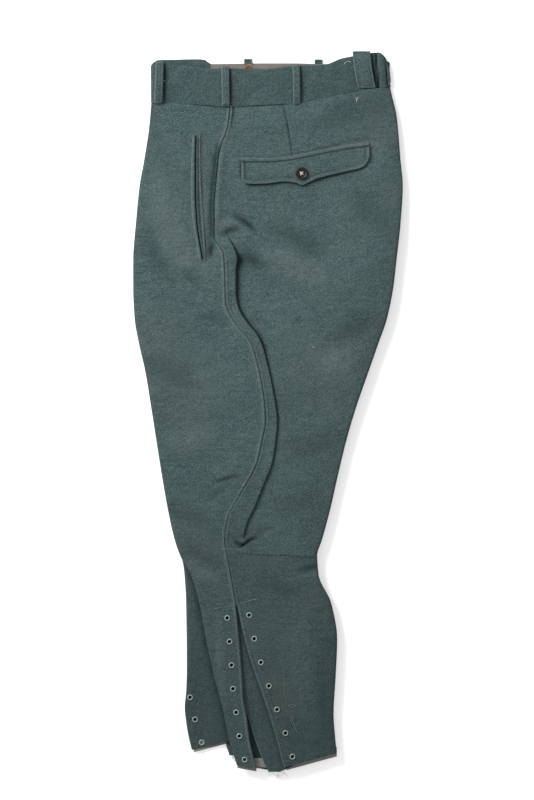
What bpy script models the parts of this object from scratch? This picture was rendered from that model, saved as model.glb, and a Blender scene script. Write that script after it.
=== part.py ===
"""Laced riding breeches of heavy felted wool, laid flat on their right side.

Metres, +Z up. X runs from the fly at the front to the seat at the back, Y from the hems to
the waist. A place on the garment is given as `down`, the distance below the tip of the wide
belt loop, and `across`, the distance behind the foremost point of the front edge. Each half
of the garment is a wall of cloth that is flat along its outer side, turns round its front
and back edges and comes back along the inside of the leg. The left half is the right half
mirrored in the surface where the two halves meet.
"""
import math
from collections import namedtuple

import bmesh
import bpy
from mathutils import Matrix, Vector
from mathutils.bvhtree import BVHTree

# Overall size
LENGTH = 1.011
WIDTH = 0.378

# Cloth and clearances
CLOTH = 0.0020
BAND_CLOTH = 0.0028
FAR_BAND_CLOTH = 0.0020
LINING = 0.0006
TAPE = 0.0010
SEAM = 0.0003
WAIST_SEAM = 0.0008
REST = 0.0005
INNER_CLEARANCE = 0.0003

# Height of the surface where the right half and the left half meet
MIDDLE_AT_PELVIS = 0.0030
MIDDLE_AT_CROTCH = 0.0048
MIDDLE_AT_LEG = 0.0073
CLIMB_ABOVE_CROTCH = 0.065
CLIMB_BELOW_CROTCH = 0.120

# Crotch seam: it leaves the front and back edges, and reaches the fork
CROTCH_TOP = 0.140
FORK_DOWN = 0.315
FORK_ACROSS = 0.160
TURN_RUN = 0.045

# Waist, knee seam, side slit and hems
WAIST_DOWN = 0.076
KNEE_DOWN = 0.707
SLIT_DOWN = 0.776
FRONT_HEM = 1.003
CALF_HEM = 0.994
UNDER_FRONT_HEM = 0.976
UNDER_CALF_HEM = 0.978
HEM_FADE = 0.070
WAIST_FADE = 0.085
ROW_PITCH = 0.030
LAST_ROW_DOWN = 0.950

# Slant of each hem: where it starts and ends, where it has no offset, and its slope
Slant = namedtuple("Slant", "first last centre slope")
FRONT_SLANT = Slant(0.140, 0.180, 0.157, 0.17)
UNDER_FRONT_SLANT = Slant(0.075, 0.135, 0.104, -0.24)
CALF_SLANT = Slant(0.180, 0.290, 0.249, -0.28)

# Fold of the side fullness, which lies on the back panel behind the side seam
FOLD_HEIGHT = 0.0042
FOLD_TAPER = 0.022
FOLD_TOP = 0.243
FOLD_FOOT = 0.702
FOLD_FADE = 0.050
FOLD_LIP = 0.0012
FOLD_LIP_RUN = 0.0005

# Cells round each turned edge, and the columns of each piece that the side fold raises
ARC_COUNT = 4
FRONT_COLUMNS = 4
BACK_COLUMNS = 8
UNDER_FRONT_COLUMNS = 5
UNDER_BACK_COLUMNS = 9
CALF_COLUMNS = 5
INNER_COLUMNS = 4
RAISED_COLUMNS = {"left_front": 6, "left_back": 11}

# The lower corner of the open flap on the under leg sinks on to its own turning
SINK = 0.0024
SINK_FROM = 0.850
SINK_RUN = 0.050
SINK_ACROSS = 0.090
SINK_SPREAD = 0.040
SINK_ROOM = 0.0007
UNDER_INSET = 0.002

# Eyelets
EYELET_PITCH = 0.033
EYELET_COUNT = 7
EYELET_INSET = 0.0140
FRONT_EYELET_DOWN = 0.795
REAR_EYELET_DOWN = 0.791
EYELET_HOLE = 0.0029
EYELET_BARREL = 0.0026
EYELET_BORE = 0.0021
EYELET_FLANGE = 0.0040
EYELET_RISE = 0.0009
EYELET_SIDES = 10
EYELET_DEPTH = 0.0016
EYELET_CUT = 0.0036
UNDER_EYELETS = [(0.0800, 0.906), (0.0870, 0.937), (0.0960, 0.961)]

# Buttons
HIP_BUTTON = (0.2365, 0.1730)
HIP_BUTTON_RADIUS = 0.0085
INNER_BUTTON = (0.1600, 0.0168)
INNER_BUTTON_RADIUS = 0.0052
BUTTON_SIDES = 20
BUTTON_THICKNESS = 0.32
# Outline of a button, as shares of its radius and of its thickness
BUTTON_OUTLINE = [(0.0, 0.0), (0.80, 0.0), (1.0, 0.45), (0.93, 1.0), (0.76, 0.95),
                  (0.62, 0.62), (0.0, 0.62)]

# Front edge and back edge of the left leg
Station = namedtuple("Station", "down front back")
OUTLINE = [
    Station(0.052, 0.027, 0.359),
    Station(0.076, 0.025, 0.361),
    Station(0.110, 0.022, 0.370),
    Station(0.155, 0.015, 0.375),
    Station(0.189, 0.009, 0.378),
    Station(0.240, 0.004, 0.375),
    Station(0.270, 0.002, 0.372),
    Station(0.295, 0.000, 0.369),
    Station(0.330, 0.000, 0.365),
    Station(0.375, 0.002, 0.356),
    Station(0.410, 0.008, 0.344),
    Station(0.450, 0.017, 0.330),
    Station(0.505, 0.026, 0.311),
    Station(0.550, 0.033, 0.298),
    Station(0.600, 0.041, 0.286),
    Station(0.640, 0.048, 0.277),
    Station(0.685, 0.058, 0.265),
    Station(0.708, 0.066, 0.258),
    Station(0.735, 0.081, 0.260),
    Station(0.776, 0.093, 0.278),
    Station(0.825, 0.102, 0.286),
    Station(0.875, 0.113, 0.284),
    Station(0.930, 0.127, 0.281),
    Station(0.967, 0.134, 0.283),
    Station(1.003, 0.145, 0.286),
]

# Side seam, from the waist to the top of the slit
Side = namedtuple("Side", "down across")
SIDE_SEAM = [
    Side(0.052, 0.1340),
    Side(0.081, 0.1360),
    Side(0.105, 0.1330),
    Side(0.130, 0.1246),
    Side(0.147, 0.1204),
    Side(0.175, 0.1176),
    Side(0.217, 0.1141),
    Side(0.254, 0.1148),
    Side(0.273, 0.1232),
    Side(0.283, 0.1275),
    Side(0.308, 0.1288),
    Side(0.354, 0.1305),
    Side(0.368, 0.1350),
    Side(0.382, 0.1428),
    Side(0.402, 0.1600),
    Side(0.412, 0.1666),
    Side(0.452, 0.1778),
    Side(0.497, 0.1848),
    Side(0.518, 0.1858),
    Side(0.546, 0.1812),
    Side(0.577, 0.1740),
    Side(0.623, 0.1498),
    Side(0.655, 0.1335),
    Side(0.686, 0.1288),
    Side(0.735, 0.1372),
    Side(SLIT_DOWN, 0.1444),
]

# Lip of the side fold, behind the side seam
FOLD_EDGE = [
    Side(0.052, 0.1460),
    Side(0.081, 0.1480),
    Side(0.130, 0.1366),
    Side(0.196, 0.1270),
    Side(0.240, 0.1270),
    Side(0.266, 0.1355),
    Side(0.288, 0.1452),
    Side(0.308, 0.1437),
    Side(0.336, 0.1435),
    Side(0.354, 0.1456),
    Side(0.367, 0.1500),
    Side(0.384, 0.1612),
    Side(0.399, 0.1736),
    Side(0.414, 0.1806),
    Side(0.458, 0.1918),
    Side(0.504, 0.2000),
    Side(0.518, 0.2014),
    Side(0.532, 0.2006),
    Side(0.574, 0.1950),
    Side(0.609, 0.1820),
    Side(0.637, 0.1708),
    Side(0.665, 0.1582),
    Side(0.685, 0.1540),
    Side(0.708, 0.1500),
]

# Side slit of the left leg: rear edge of the front panel and front edge of the lower back
Slit = namedtuple("Slit", "down front rear")
SLIT = [
    Slit(SLIT_DOWN, 0.144, 0.145),
    Slit(0.825, 0.149, 0.156),
    Slit(0.875, 0.153, 0.171),
    Slit(0.930, 0.159, 0.190),
    Slit(0.967, 0.164, 0.203),
    Slit(1.003, 0.173, 0.213),
]

# Under leg below the knee, where its opened front flap is turned under and then runs free
Under = namedtuple("Under", "down front flap")
UNDER = [
    Under(0.640, 0.050, 0.144),
    Under(0.685, 0.060, 0.144),
    Under(0.728, 0.071, 0.144),
    Under(0.776, 0.074, 0.144),
    Under(0.820, 0.075, 0.118),
    Under(0.865, 0.075, 0.090),
    Under(0.900, 0.074, 0.079),
    Under(0.920, 0.072, 0.0765),
    Under(0.945, 0.075, 0.0795),
    Under(0.981, 0.083, 0.0875),
]

# Inner leg seam
Inseam = namedtuple("Inseam", "down across")
INSEAM = [
    Inseam(FORK_DOWN, FORK_ACROSS),
    Inseam(0.500, 0.168),
    Inseam(0.700, 0.168),
    Inseam(0.830, 0.196),
    Inseam(1.003, 0.196),
]

# Waistband: its seam, the top edge of the near band and the top edge of the far band
Band = namedtuple("Band", "across seam near far")
BAND = [
    Band(0.025, 0.0730, 0.0195, 0.0175),
    Band(0.034, 0.0730, 0.0170, 0.0125),
    Band(0.060, 0.0735, 0.0200, 0.0115),
    Band(0.098, 0.0755, 0.0245, 0.0120),
    Band(0.107, 0.0765, 0.0255, 0.0175),
    Band(0.125, 0.0770, 0.0250, 0.0175),
    Band(0.186, 0.0755, 0.0260, 0.0170),
    Band(0.225, 0.0740, 0.0215, 0.0170),
    Band(0.268, 0.0655, 0.0200, 0.0180),
    Band(0.293, 0.0600, 0.0110, 0.0165),
    Band(0.320, 0.0550, 0.0060, 0.0130),
    Band(0.344, 0.0520, 0.0025, 0.0090),
    Band(0.360, 0.0520, 0.0090, 0.0160),
]

BAND_REST = 0.0002
NEAR_BAND_COLUMNS = 36
NEAR_BAND_ROWS = 4
FAR_BAND_COLUMNS = 26
FAR_BAND_ROWS = 2

# Upright folds that gather the back end of the near band
PLEAT_FROM = 0.334
PLEAT_RUN = 0.006
PLEAT_PITCH = 0.0085
PLEAT_HEIGHT = 0.0012

# Lining where it shows on the far band
LINING_FIRST = 0.1085
LINING_LAST = 0.345
LINING_TOP = 0.0004
LINING_FOOT = 0.004
LINING_COLUMNS = 12

# Hip pocket flap, from its front end to its back end
Flap = namedtuple("Flap", "across top bottom")
FLAP = [
    Flap(0.1530, 0.1555, 0.1850),
    Flap(0.1890, 0.1570, 0.1860),
    Flap(0.2140, 0.1540, 0.1840),
    Flap(0.2370, 0.1500, 0.1890),
    Flap(0.2570, 0.1460, 0.1800),
    Flap(0.2970, 0.1385, 0.1700),
    Flap(0.3310, 0.1335, 0.1640),
]
FLAP_CORNER = 0.011
FLAP_COLUMNS = 18
FLAP_ROWS = 4
FLAP_EASE = 0.12
WELT_HEIGHT = 0.0052
WELT_OVERRUN = 0.001
WELT_COLUMNS = 12

# Side pocket: outer edge of its front lip, its slit, and outer edge of its back lip
Pocket = namedtuple("Pocket", "down front slit back")
POCKET = [
    Pocket(0.119, 0.0840, 0.0885, 0.0935),
    Pocket(0.165, 0.0815, 0.0880, 0.0945),
    Pocket(0.205, 0.0810, 0.0880, 0.0960),
    Pocket(0.240, 0.0845, 0.0900, 0.0985),
    Pocket(0.294, 0.0930, 0.0975, 0.1010),
]
POCKET_SLIT = 0.0012
POCKET_ROWS = 14
LIP_CLOTH = 0.0014
LIP_CROWN = 0.0007

# Straps: centre line at top and bottom, width and length of each belt loop
Strap = namedtuple("Strap", "name top bottom width down length lift")
NEAR_STRAPS = [
    Strap("belt_loop_front", 0.0370, 0.0350, 0.0115, 0.0165, 0.0590, 0.0016),
    Strap("belt_loop_side", 0.1290, 0.1300, 0.0120, 0.0225, 0.0560, 0.0016),
    Strap("belt_loop_hip", 0.2290, 0.2300, 0.0115, 0.0185, 0.0560, 0.0016),
    Strap("belt_loop_back_wide", 0.3200, 0.3270, 0.0240, 0.0000, 0.0500, 0.0020),
]
FAR_STRAPS = [("belt_loop_far_side", 0.1610), ("belt_loop_far_hip", 0.2600)]
FAR_STRAP_WIDTH = 0.0115
FAR_STRAP_RISE = 0.0085
FAR_STRAP_LOW = 0.0002
STRAP_CLOTH = 0.0018
STRAP_ROWS = 8

# Tongue behind the slit: its front edge and its back edge
Tongue = namedtuple("Tongue", "down front back")
LEFT_TONGUE = [
    Tongue(0.782, 0.132, 0.176),
    Tongue(0.850, 0.140, 0.188),
    Tongue(0.910, 0.154, 0.206),
    Tongue(0.998, 0.183, 0.229),
    Tongue(1.011, 0.190, 0.206),
]
RIGHT_TONGUE = [
    Tongue(0.800, 0.120, 0.152),
    Tongue(0.900, 0.127, 0.160),
    Tongue(0.972, 0.130, 0.166),
    Tongue(0.989, 0.135, 0.150),
]
TONGUE_CLOTH = 0.0016
TONGUE_ROWS = 9
TONGUE_COLUMNS = 3

# Hem tapes: place of each foot at its front end and its back end, and how far it reaches up
Tape = namedtuple("Tape", "name first last first_down last_down above")
LEFT_FRONT_TAPE = Tape("hem_tape_left_front", 0.152, 0.172, 1.0043, 1.0085, 0.012)
LEFT_CALF_TAPE = Tape("hem_tape_left_calf", 0.236, 0.279, 0.9998, 0.9877, 0.012)
LEFT_INSIDE_TAPE = Tape("hem_tape_left_inside", 0.154, 0.176, 1.0045, 1.0050, 0.014)
RIGHT_FRONT_TAPE = Tape("hem_tape_right_front", 0.092, 0.1265, 0.9820, 0.9730, 0.009)
TAPE_COLUMNS = 4

# Finishes: base colour, roughness and metallic
WOOL = ("wool", (0.090, 0.135, 0.132), 0.95, 0.0)
LINING_CLOTH = ("lining", (0.215, 0.190, 0.165), 0.85, 0.0)
TAPE_CLOTH = ("tape", (0.190, 0.175, 0.150), 0.85, 0.0)
HORN = ("horn", (0.022, 0.014, 0.012), 0.35, 0.0)
AMBER = ("amber_button", (0.330, 0.140, 0.025), 0.40, 0.0)
EYELET_METAL = ("eyelet", (0.420, 0.460, 0.420), 0.45, 0.9)


def clear_scene():
    """Remove whatever the file holds."""
    for item in list(bpy.data.objects):
        bpy.data.objects.remove(item, do_unlink=True)


def smooth(t):
    """Ease from 0 to 1 as t goes from 0 to 1."""
    t = min(max(t, 0.0), 1.0)
    return t * t * (3.0 - 2.0 * t)


def curve(table, column, at):
    """Value of one column of a table at a place along its first column, with no overshoot."""
    keys = [row[0] for row in table]
    values = [getattr(row, column) for row in table]
    if at <= keys[0]:
        return values[0]
    if at >= keys[-1]:
        return values[-1]
    slopes = [(values[i + 1] - values[i]) / (keys[i + 1] - keys[i]) for i in range(len(keys) - 1)]

    def tangent(i):
        before = slopes[max(i - 1, 0)]
        after = slopes[min(i, len(slopes) - 1)]
        if before * after <= 0.0:
            return 0.0
        return 2.0 * before * after / (before + after)

    i = max(k for k in range(len(keys) - 1) if keys[k] <= at)
    span = keys[i + 1] - keys[i]
    t = (at - keys[i]) / span
    t2, t3 = t * t, t * t * t
    start = (2 * t3 - 3 * t2 + 1) * values[i] + (t3 - 2 * t2 + t) * span * tangent(i)
    end = (3 * t2 - 2 * t3) * values[i + 1] + (t3 - t2) * span * tangent(i + 1)
    return start + end


def front_edge(down, under=False):
    """Front edge of a leg."""
    if under and down > UNDER[0].down:
        return curve(UNDER, "front", down)
    return curve(OUTLINE, "front", down) + (UNDER_INSET if under else 0.0)


def back_edge(down, under=False):
    """Back edge of a leg."""
    return curve(OUTLINE, "back", down) - (UNDER_INSET if under else 0.0)


def flap_edge(down, under=False):
    """Rear edge of the front panel: the side seam, and below it the front edge of the slit."""
    if down <= SLIT_DOWN:
        return curve(SIDE_SEAM, "across", down)
    return curve(UNDER, "flap", down) if under else curve(SLIT, "front", down)


def rear_edge(down):
    """Front edge of the back panel."""
    if down <= SLIT_DOWN:
        return curve(SIDE_SEAM, "across", down)
    return curve(SLIT, "rear", down)


def fold_edge(down):
    """Lip of the side fold."""
    return curve(FOLD_EDGE, "across", down)


def inseam(down):
    """Inner leg seam."""
    return curve(INSEAM, "across", down)


def crotch_share(down):
    """Share of the way from an edge to the fork that the crotch seam has covered."""
    t = min(max((down - CROTCH_TOP) / (FORK_DOWN - CROTCH_TOP), 0.0), 1.0)
    return math.asin(t) / (math.pi / 2)


def crotch_line(across, down):
    """How far down the crotch seam lies at a place across."""
    front, back = front_edge(down), back_edge(down)
    if across < FORK_ACROSS:
        share = (across - front) / (FORK_ACROSS - front)
    else:
        share = (back - across) / (back - FORK_ACROSS)
    share = min(max(share, 0.0), 1.0)
    return CROTCH_TOP + (FORK_DOWN - CROTCH_TOP) * math.sin(math.pi / 2 * share)


def middle(across, down):
    """Height of the surface where the right half and the left half meet."""
    below = down - crotch_line(across, down)
    if below < 0.0:
        climb = smooth(1.0 + below / CLIMB_ABOVE_CROTCH)
        return MIDDLE_AT_PELVIS + (MIDDLE_AT_CROTCH - MIDDLE_AT_PELVIS) * climb
    climb = smooth(below / CLIMB_BELOW_CROTCH)
    return MIDDLE_AT_CROTCH + (MIDDLE_AT_LEG - MIDDLE_AT_CROTCH) * climb


def sink(across, down):
    """How much the open flap of the under leg lies lower than the rest of its inner layer."""
    along = smooth((down - SINK_FROM) / SINK_RUN)
    return SINK * along * (1.0 - smooth((across - SINK_ACROSS) / SINK_SPREAD))


def fold_share(down):
    """Height of the side fold along its length, as a share of its full height."""
    return smooth((down - FOLD_TOP) / FOLD_FADE) * smooth((FOLD_FOOT - down) / FOLD_FADE)


def fold_rise(across, down):
    """How far the side fold raises the outer face of the left half."""
    seam, lip = flap_edge(down), fold_edge(down)
    if across < seam:
        share = smooth(1.0 - (seam - across) / FOLD_TAPER)
    else:
        share = 1.0 if across <= lip else 0.0
    return FOLD_HEIGHT * fold_share(down) * share


def world(across, down, height):
    """A place on the garment, in metres in the part's own frame."""
    return Vector((across - WIDTH / 2.0, LENGTH / 2.0 - down, height))


def material(finish):
    """Principled material of a finish."""
    name, colour, roughness, metallic = finish
    if name in bpy.data.materials:
        return bpy.data.materials[name]
    made = bpy.data.materials.new(name)
    made.use_nodes = True
    shader = made.node_tree.nodes["Principled BSDF"]
    shader.inputs["Base Color"].default_value = (*colour, 1.0)
    shader.inputs["Roughness"].default_value = roughness
    shader.inputs["Metallic"].default_value = metallic
    return made


def add(name, shape, finish):
    """Turn a bmesh into a named object with its own finish."""
    bmesh.ops.remove_doubles(shape, verts=shape.verts, dist=1e-6)
    bmesh.ops.recalc_face_normals(shape, faces=shape.faces)
    mesh = bpy.data.meshes.new(name)
    shape.to_mesh(mesh)
    shape.free()
    mesh.shade_smooth()
    mesh.set_sharp_from_angle(angle=math.radians(40))
    mesh.materials.append(material(finish))
    made = bpy.data.objects.new(name, mesh)
    bpy.context.collection.objects.link(made)
    return made


def wall(name, finish, rows, columns, place):
    """Closed wall over a grid of cells, where place(row, column) gives two facing points."""
    shape = bmesh.new()
    bmesh.ops.create_grid(shape, x_segments=columns, y_segments=rows, size=1.0)
    cell = shape.verts.layers.int.new("cell")
    for vert in shape.verts:
        column = round((vert.co.x + 1.0) / 2.0 * columns)
        row = round((vert.co.y + 1.0) / 2.0 * rows)
        vert[cell] = row * (columns + 1) + column
    extruded = bmesh.ops.extrude_face_region(shape, geom=shape.faces[:])
    inner = {item for item in extruded["geom"] if isinstance(item, bmesh.types.BMVert)}
    for vert in shape.verts:
        points = place(*divmod(vert[cell], columns + 1))
        vert.co = points[1] if vert in inner else points[0]
    return add(name, shape, finish)


def steps(count, first=0):
    """Even shares from first / count up to 1."""
    return [i / count for i in range(first, count + 1)]


def section(down, start, edge, end, outer_shares, arc_count, inner_count, lowered):
    """Mid-line of one panel of the right half, from its side seam round to its inner seam."""
    facing = 1.0 if edge > start else -1.0
    turn = math.pi / 2 * (1.0 + smooth((down - CROTCH_TOP + TURN_RUN) / TURN_RUN))
    space = SEAM / 2 + (CLOTH / 2 + INNER_CLEARANCE) * abs(math.cos(turn))
    level = middle(edge, down) - space - lowered(edge, down)
    radius = (level - CLOTH / 2) / (1.0 - math.cos(turn))
    centre = edge - facing * (radius + CLOTH / 2)
    cuts = []
    for share in outer_shares[:-1]:
        cuts.append((start + (centre - start) * share, CLOTH / 2, 0.0, -1.0))
    for share in steps(arc_count):
        angle = turn * share
        out, up = facing * math.sin(angle), -math.cos(angle)
        cuts.append((centre + radius * out, CLOTH / 2 + radius * (1.0 + up), out, up))
    last = cuts[-1]
    for share in steps(inner_count, 1):
        if end is None:
            cuts.append(last)
        else:
            across = last[0] + (end - last[0]) * share
            height = middle(across, down) - space - lowered(across, down)
            cuts.append((across, height, 0.0, 1.0))
    return cuts


def no_sink(across, down):
    """A layer that does not sink."""
    return 0.0


def panel(name, left, rows, edges, outer_shares, inner_count, lean, lowered=no_sink):
    """One cut piece of a half: edges(down) gives its start, its folded edge and its end."""
    cuts = []
    for down in rows:
        start, edge, end = edges(down)
        shares = outer_shares(down) if callable(outer_shares) else outer_shares
        cuts.append(section(down, start, edge, end, shares, ARC_COUNT, inner_count, lowered))
    columns = len(cuts[0]) - 1

    def place(row, column):
        down = rows[row]
        across, height, out, up = cuts[row][column]
        lean_down = down + lean(across, down)
        points = []
        for side in (1.0, -1.0):
            x = across + side * out * CLOTH / 2
            z = height + side * up * CLOTH / 2
            if left:
                z = 2.0 * middle(across, down) - z
                if side > 0 and column < RAISED_COLUMNS.get(name, 0):
                    z += fold_rise(across, down)
            points.append(world(x, lean_down, z))
        return points

    return wall(name, WOOL, len(rows) - 1, columns, place)


def spaced(top, bottom):
    """Even rows from top to bottom, about a row pitch apart."""
    count = max(2, round((bottom - top) / ROW_PITCH))
    return [top + (bottom - top) * share for share in steps(count)]


def waist_lean(across, down):
    """How the rows near the waist follow its seam."""
    fade = 1.0 - smooth((down - WAIST_DOWN) / WAIST_FADE)
    return (curve(BAND, "seam", across) + WAIST_SEAM - WAIST_DOWN) * fade


def hem_lean(slant, hem, across, down):
    """How the rows near a hem follow its slant."""
    offset = slant.slope * (min(max(across, slant.first), slant.last) - slant.centre)
    return offset * smooth((down - hem + HEM_FADE) / HEM_FADE)


def front_panels():
    """Front panels, each in one piece from the waist to the hem."""
    def edges(under):
        def at(down):
            if down <= CROTCH_TOP:
                end = None
            elif down <= FORK_DOWN:
                front = front_edge(down, under)
                end = front + (FORK_ACROSS - front) * crotch_share(down)
            else:
                end = inseam(down)
            start = flap_edge(down, under) - SEAM / 2
            return start, front_edge(down, under), end - SEAM / 2 if end else None
        return at

    def lean_left(across, down):
        return waist_lean(across, down) + hem_lean(FRONT_SLANT, FRONT_HEM, across, down)

    def lean_right(across, down):
        lean = hem_lean(UNDER_FRONT_SLANT, UNDER_FRONT_HEM, across, down)
        return waist_lean(across, down) + lean

    def left_shares(down):
        start, edge = flap_edge(down), front_edge(down)
        taper = FOLD_TAPER / (start - edge)
        near = [0.0, taper / 2, taper]
        rest = [near[-1] + (1.0 - near[-1]) * share for share in steps(FRONT_COLUMNS, 1)]
        return near + rest

    upper = upper_rows(KNEE_DOWN)[:-1]
    left_rows = upper + lower_rows(KNEE_DOWN, FRONT_HEM)
    right_rows = upper + lower_rows(KNEE_DOWN, UNDER_FRONT_HEM)
    panel("left_front", True, left_rows, edges(False), left_shares, INNER_COLUMNS, lean_left)
    panel("right_front", False, right_rows, edges(True), steps(UNDER_FRONT_COLUMNS),
          INNER_COLUMNS + 1, lean_right, sink)


def upper_rows(foot):
    """Rows from the waist to the knee, with one where the crotch seam starts."""
    return spaced(WAIST_DOWN, CROTCH_TOP)[:-1] + spaced(CROTCH_TOP, KNEE_DOWN)[:-1] + [foot]


def lower_rows(top, hem):
    """Rows from the knee to a hem: all panels share them down to the last row."""
    return [top] + spaced(KNEE_DOWN, SLIT_DOWN)[1:-1] + spaced(SLIT_DOWN, LAST_ROW_DOWN) + [hem]


def back_panels():
    """Back panels, from the waist to the knee seam."""
    def edges(under):
        def at(down):
            back = back_edge(down, under)
            if down <= CROTCH_TOP:
                end = None
            elif down <= FORK_DOWN:
                end = back - (back - FORK_ACROSS) * crotch_share(down)
            else:
                end = inseam(down)
            return rear_edge(down) + SEAM / 2, back, end + SEAM / 2 if end else None
        return at

    def left_shares(down):
        start, lip, edge = rear_edge(down), fold_edge(down), back_edge(down)
        span = edge - start
        ridge = (lip - FOLD_LIP - start) / span
        near = [0.0, ridge / 2, ridge, (lip + FOLD_LIP_RUN - start) / span]
        rest = [near[-1] + (1.0 - near[-1]) * share for share in steps(BACK_COLUMNS, 1)]
        return near + rest

    rows = upper_rows(KNEE_DOWN - SEAM / 2)
    panel("left_back", True, rows, edges(False), left_shares, INNER_COLUMNS, waist_lean)
    panel("right_back", False, rows, edges(True), steps(UNDER_BACK_COLUMNS), INNER_COLUMNS,
          waist_lean)


def calf_panels():
    """Lower back panels, from the knee seam to the hem."""
    def edges(under):
        def at(down):
            return rear_edge(down) + SEAM / 2, back_edge(down, under), inseam(down) + SEAM / 2
        return at

    def lean(hem):
        def at(across, down):
            return hem_lean(CALF_SLANT, hem, across, down)
        return at

    top = KNEE_DOWN + SEAM / 2
    for name, left, hem in (("left_calf", True, CALF_HEM), ("right_calf", False, UNDER_CALF_HEM)):
        panel(name, left, lower_rows(top, hem), edges(not left), steps(CALF_COLUMNS),
              INNER_COLUMNS - 1, lean(hem))


def patch(name, finish, count, across_count, outline, low, high):
    """Flat-lying piece: outline(share) gives across, near side and far side of each row."""
    def place(row, column):
        across, near, far = outline(row / count)
        down = near + (far - near) * column / across_count
        return world(across, down, high(across, down)), world(across, down, low(across, down))

    return wall(name, finish, count, across_count, place)


def pleat(across):
    """Soft upright folds that gather the back end of the near band."""
    gather = smooth((across - PLEAT_FROM) / PLEAT_RUN)
    wave = math.cos((across - PLEAT_FROM) / PLEAT_PITCH * 2.0 * math.pi)
    return gather * PLEAT_HEIGHT * (1.0 - wave) / 2.0


def waistband():
    """Near and far halves of the waistband, and the lining on the far half."""
    first, last = BAND[0].across, BAND[-1].across

    def outline(edge):
        def at(share):
            across = first + (last - first) * share
            return across, curve(BAND, edge, across), curve(BAND, "seam", across)
        return at

    def lining_outline(share):
        across = LINING_FIRST + (LINING_LAST - LINING_FIRST) * share
        top = curve(BAND, "far", across) + LINING_TOP
        return across, top, curve(BAND, "seam", across) - LINING_FOOT

    base = MIDDLE_AT_PELVIS + BAND_REST
    patch("waistband_left", WOOL, NEAR_BAND_COLUMNS, NEAR_BAND_ROWS, outline("near"),
          lambda across, down: base,
          lambda across, down: base + BAND_CLOTH + pleat(across))
    patch("waistband_right", WOOL, FAR_BAND_COLUMNS, FAR_BAND_ROWS, outline("far"),
          lambda across, down: 0.0, lambda across, down: FAR_BAND_CLOTH)
    lining_base = FAR_BAND_CLOTH + SEAM
    patch("waistband_lining", LINING_CLOTH, LINING_COLUMNS, 1, lining_outline,
          lambda across, down: lining_base,
          lambda across, down: lining_base + LINING)


def surface_of(*names):
    """Function that gives the height of the top of the named objects at a place."""
    trees = []
    graph = bpy.context.evaluated_depsgraph_get()
    for name in names:
        trees.append(BVHTree.FromObject(bpy.data.objects[name], graph))

    def height(across, down):
        start = world(across, down, 0.1)
        tops = []
        for tree in trees:
            hit = tree.ray_cast(start, Vector((0.0, 0.0, -1.0)))[0]
            if hit is not None:
                tops.append(hit.z)
        return max(tops) if tops else None

    return height


def belt_loops():
    """Belt loops on the near half, and the tops of those on the far half."""
    top_of = surface_of("waistband_left", "left_front", "left_back")
    for strap in NEAR_STRAPS:
        base = top_of((strap.top + strap.bottom) / 2, strap.down + strap.length / 2)

        def height(share, strap=strap, base=base):
            return base + REST + strap.lift * math.sin(math.pi * share) ** 0.5

        def place(row, column, strap=strap):
            share = row / STRAP_ROWS
            middle_line = strap.top + (strap.bottom - strap.top) * share
            across = middle_line + strap.width * (column / 2 - 0.5)
            down = strap.down + strap.length * share
            z = height(share)
            return world(across, down, z + STRAP_CLOTH), world(across, down, z)

        wall(strap.name, WOOL, STRAP_ROWS, 2, place)
    for name, centre in FAR_STRAPS:
        edge = curve(BAND, "far", centre) - SEAM

        def place(row, column, centre=centre, edge=edge):
            across = centre + FAR_STRAP_WIDTH * (column / 2 - 0.5)
            down = edge - FAR_STRAP_RISE * (1.0 - row / 2)
            return world(across, down, FAR_BAND_CLOTH), world(across, down, FAR_STRAP_LOW)

        wall(name, WOOL, 2, 2, place)


def side_pocket():
    """Two lips of the side pocket, which lie on the front panel."""
    top_of = surface_of("left_front")
    first, last = POCKET[0].down, POCKET[-1].down
    sides = (("pocket_lip_front", "front", "slit", -1.0), ("pocket_lip_back", "slit", "back", 1.0))
    for name, low_edge, high_edge, side in sides:
        def place(row, column, low_edge=low_edge, high_edge=high_edge, side=side):
            down = first + (last - first) * row / POCKET_ROWS
            low = curve(POCKET, low_edge, down)
            high = curve(POCKET, high_edge, down)
            if side < 0:
                high -= POCKET_SLIT / 2
            else:
                low += POCKET_SLIT / 2
            across = low + (high - low) * column / 2
            crown = LIP_CROWN if column == 1 else 0.0
            z = top_of(across, down) + REST
            return world(across, down, z + LIP_CLOTH + crown), world(across, down, z)

        wall(name, WOOL, POCKET_ROWS, 2, place)


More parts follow.
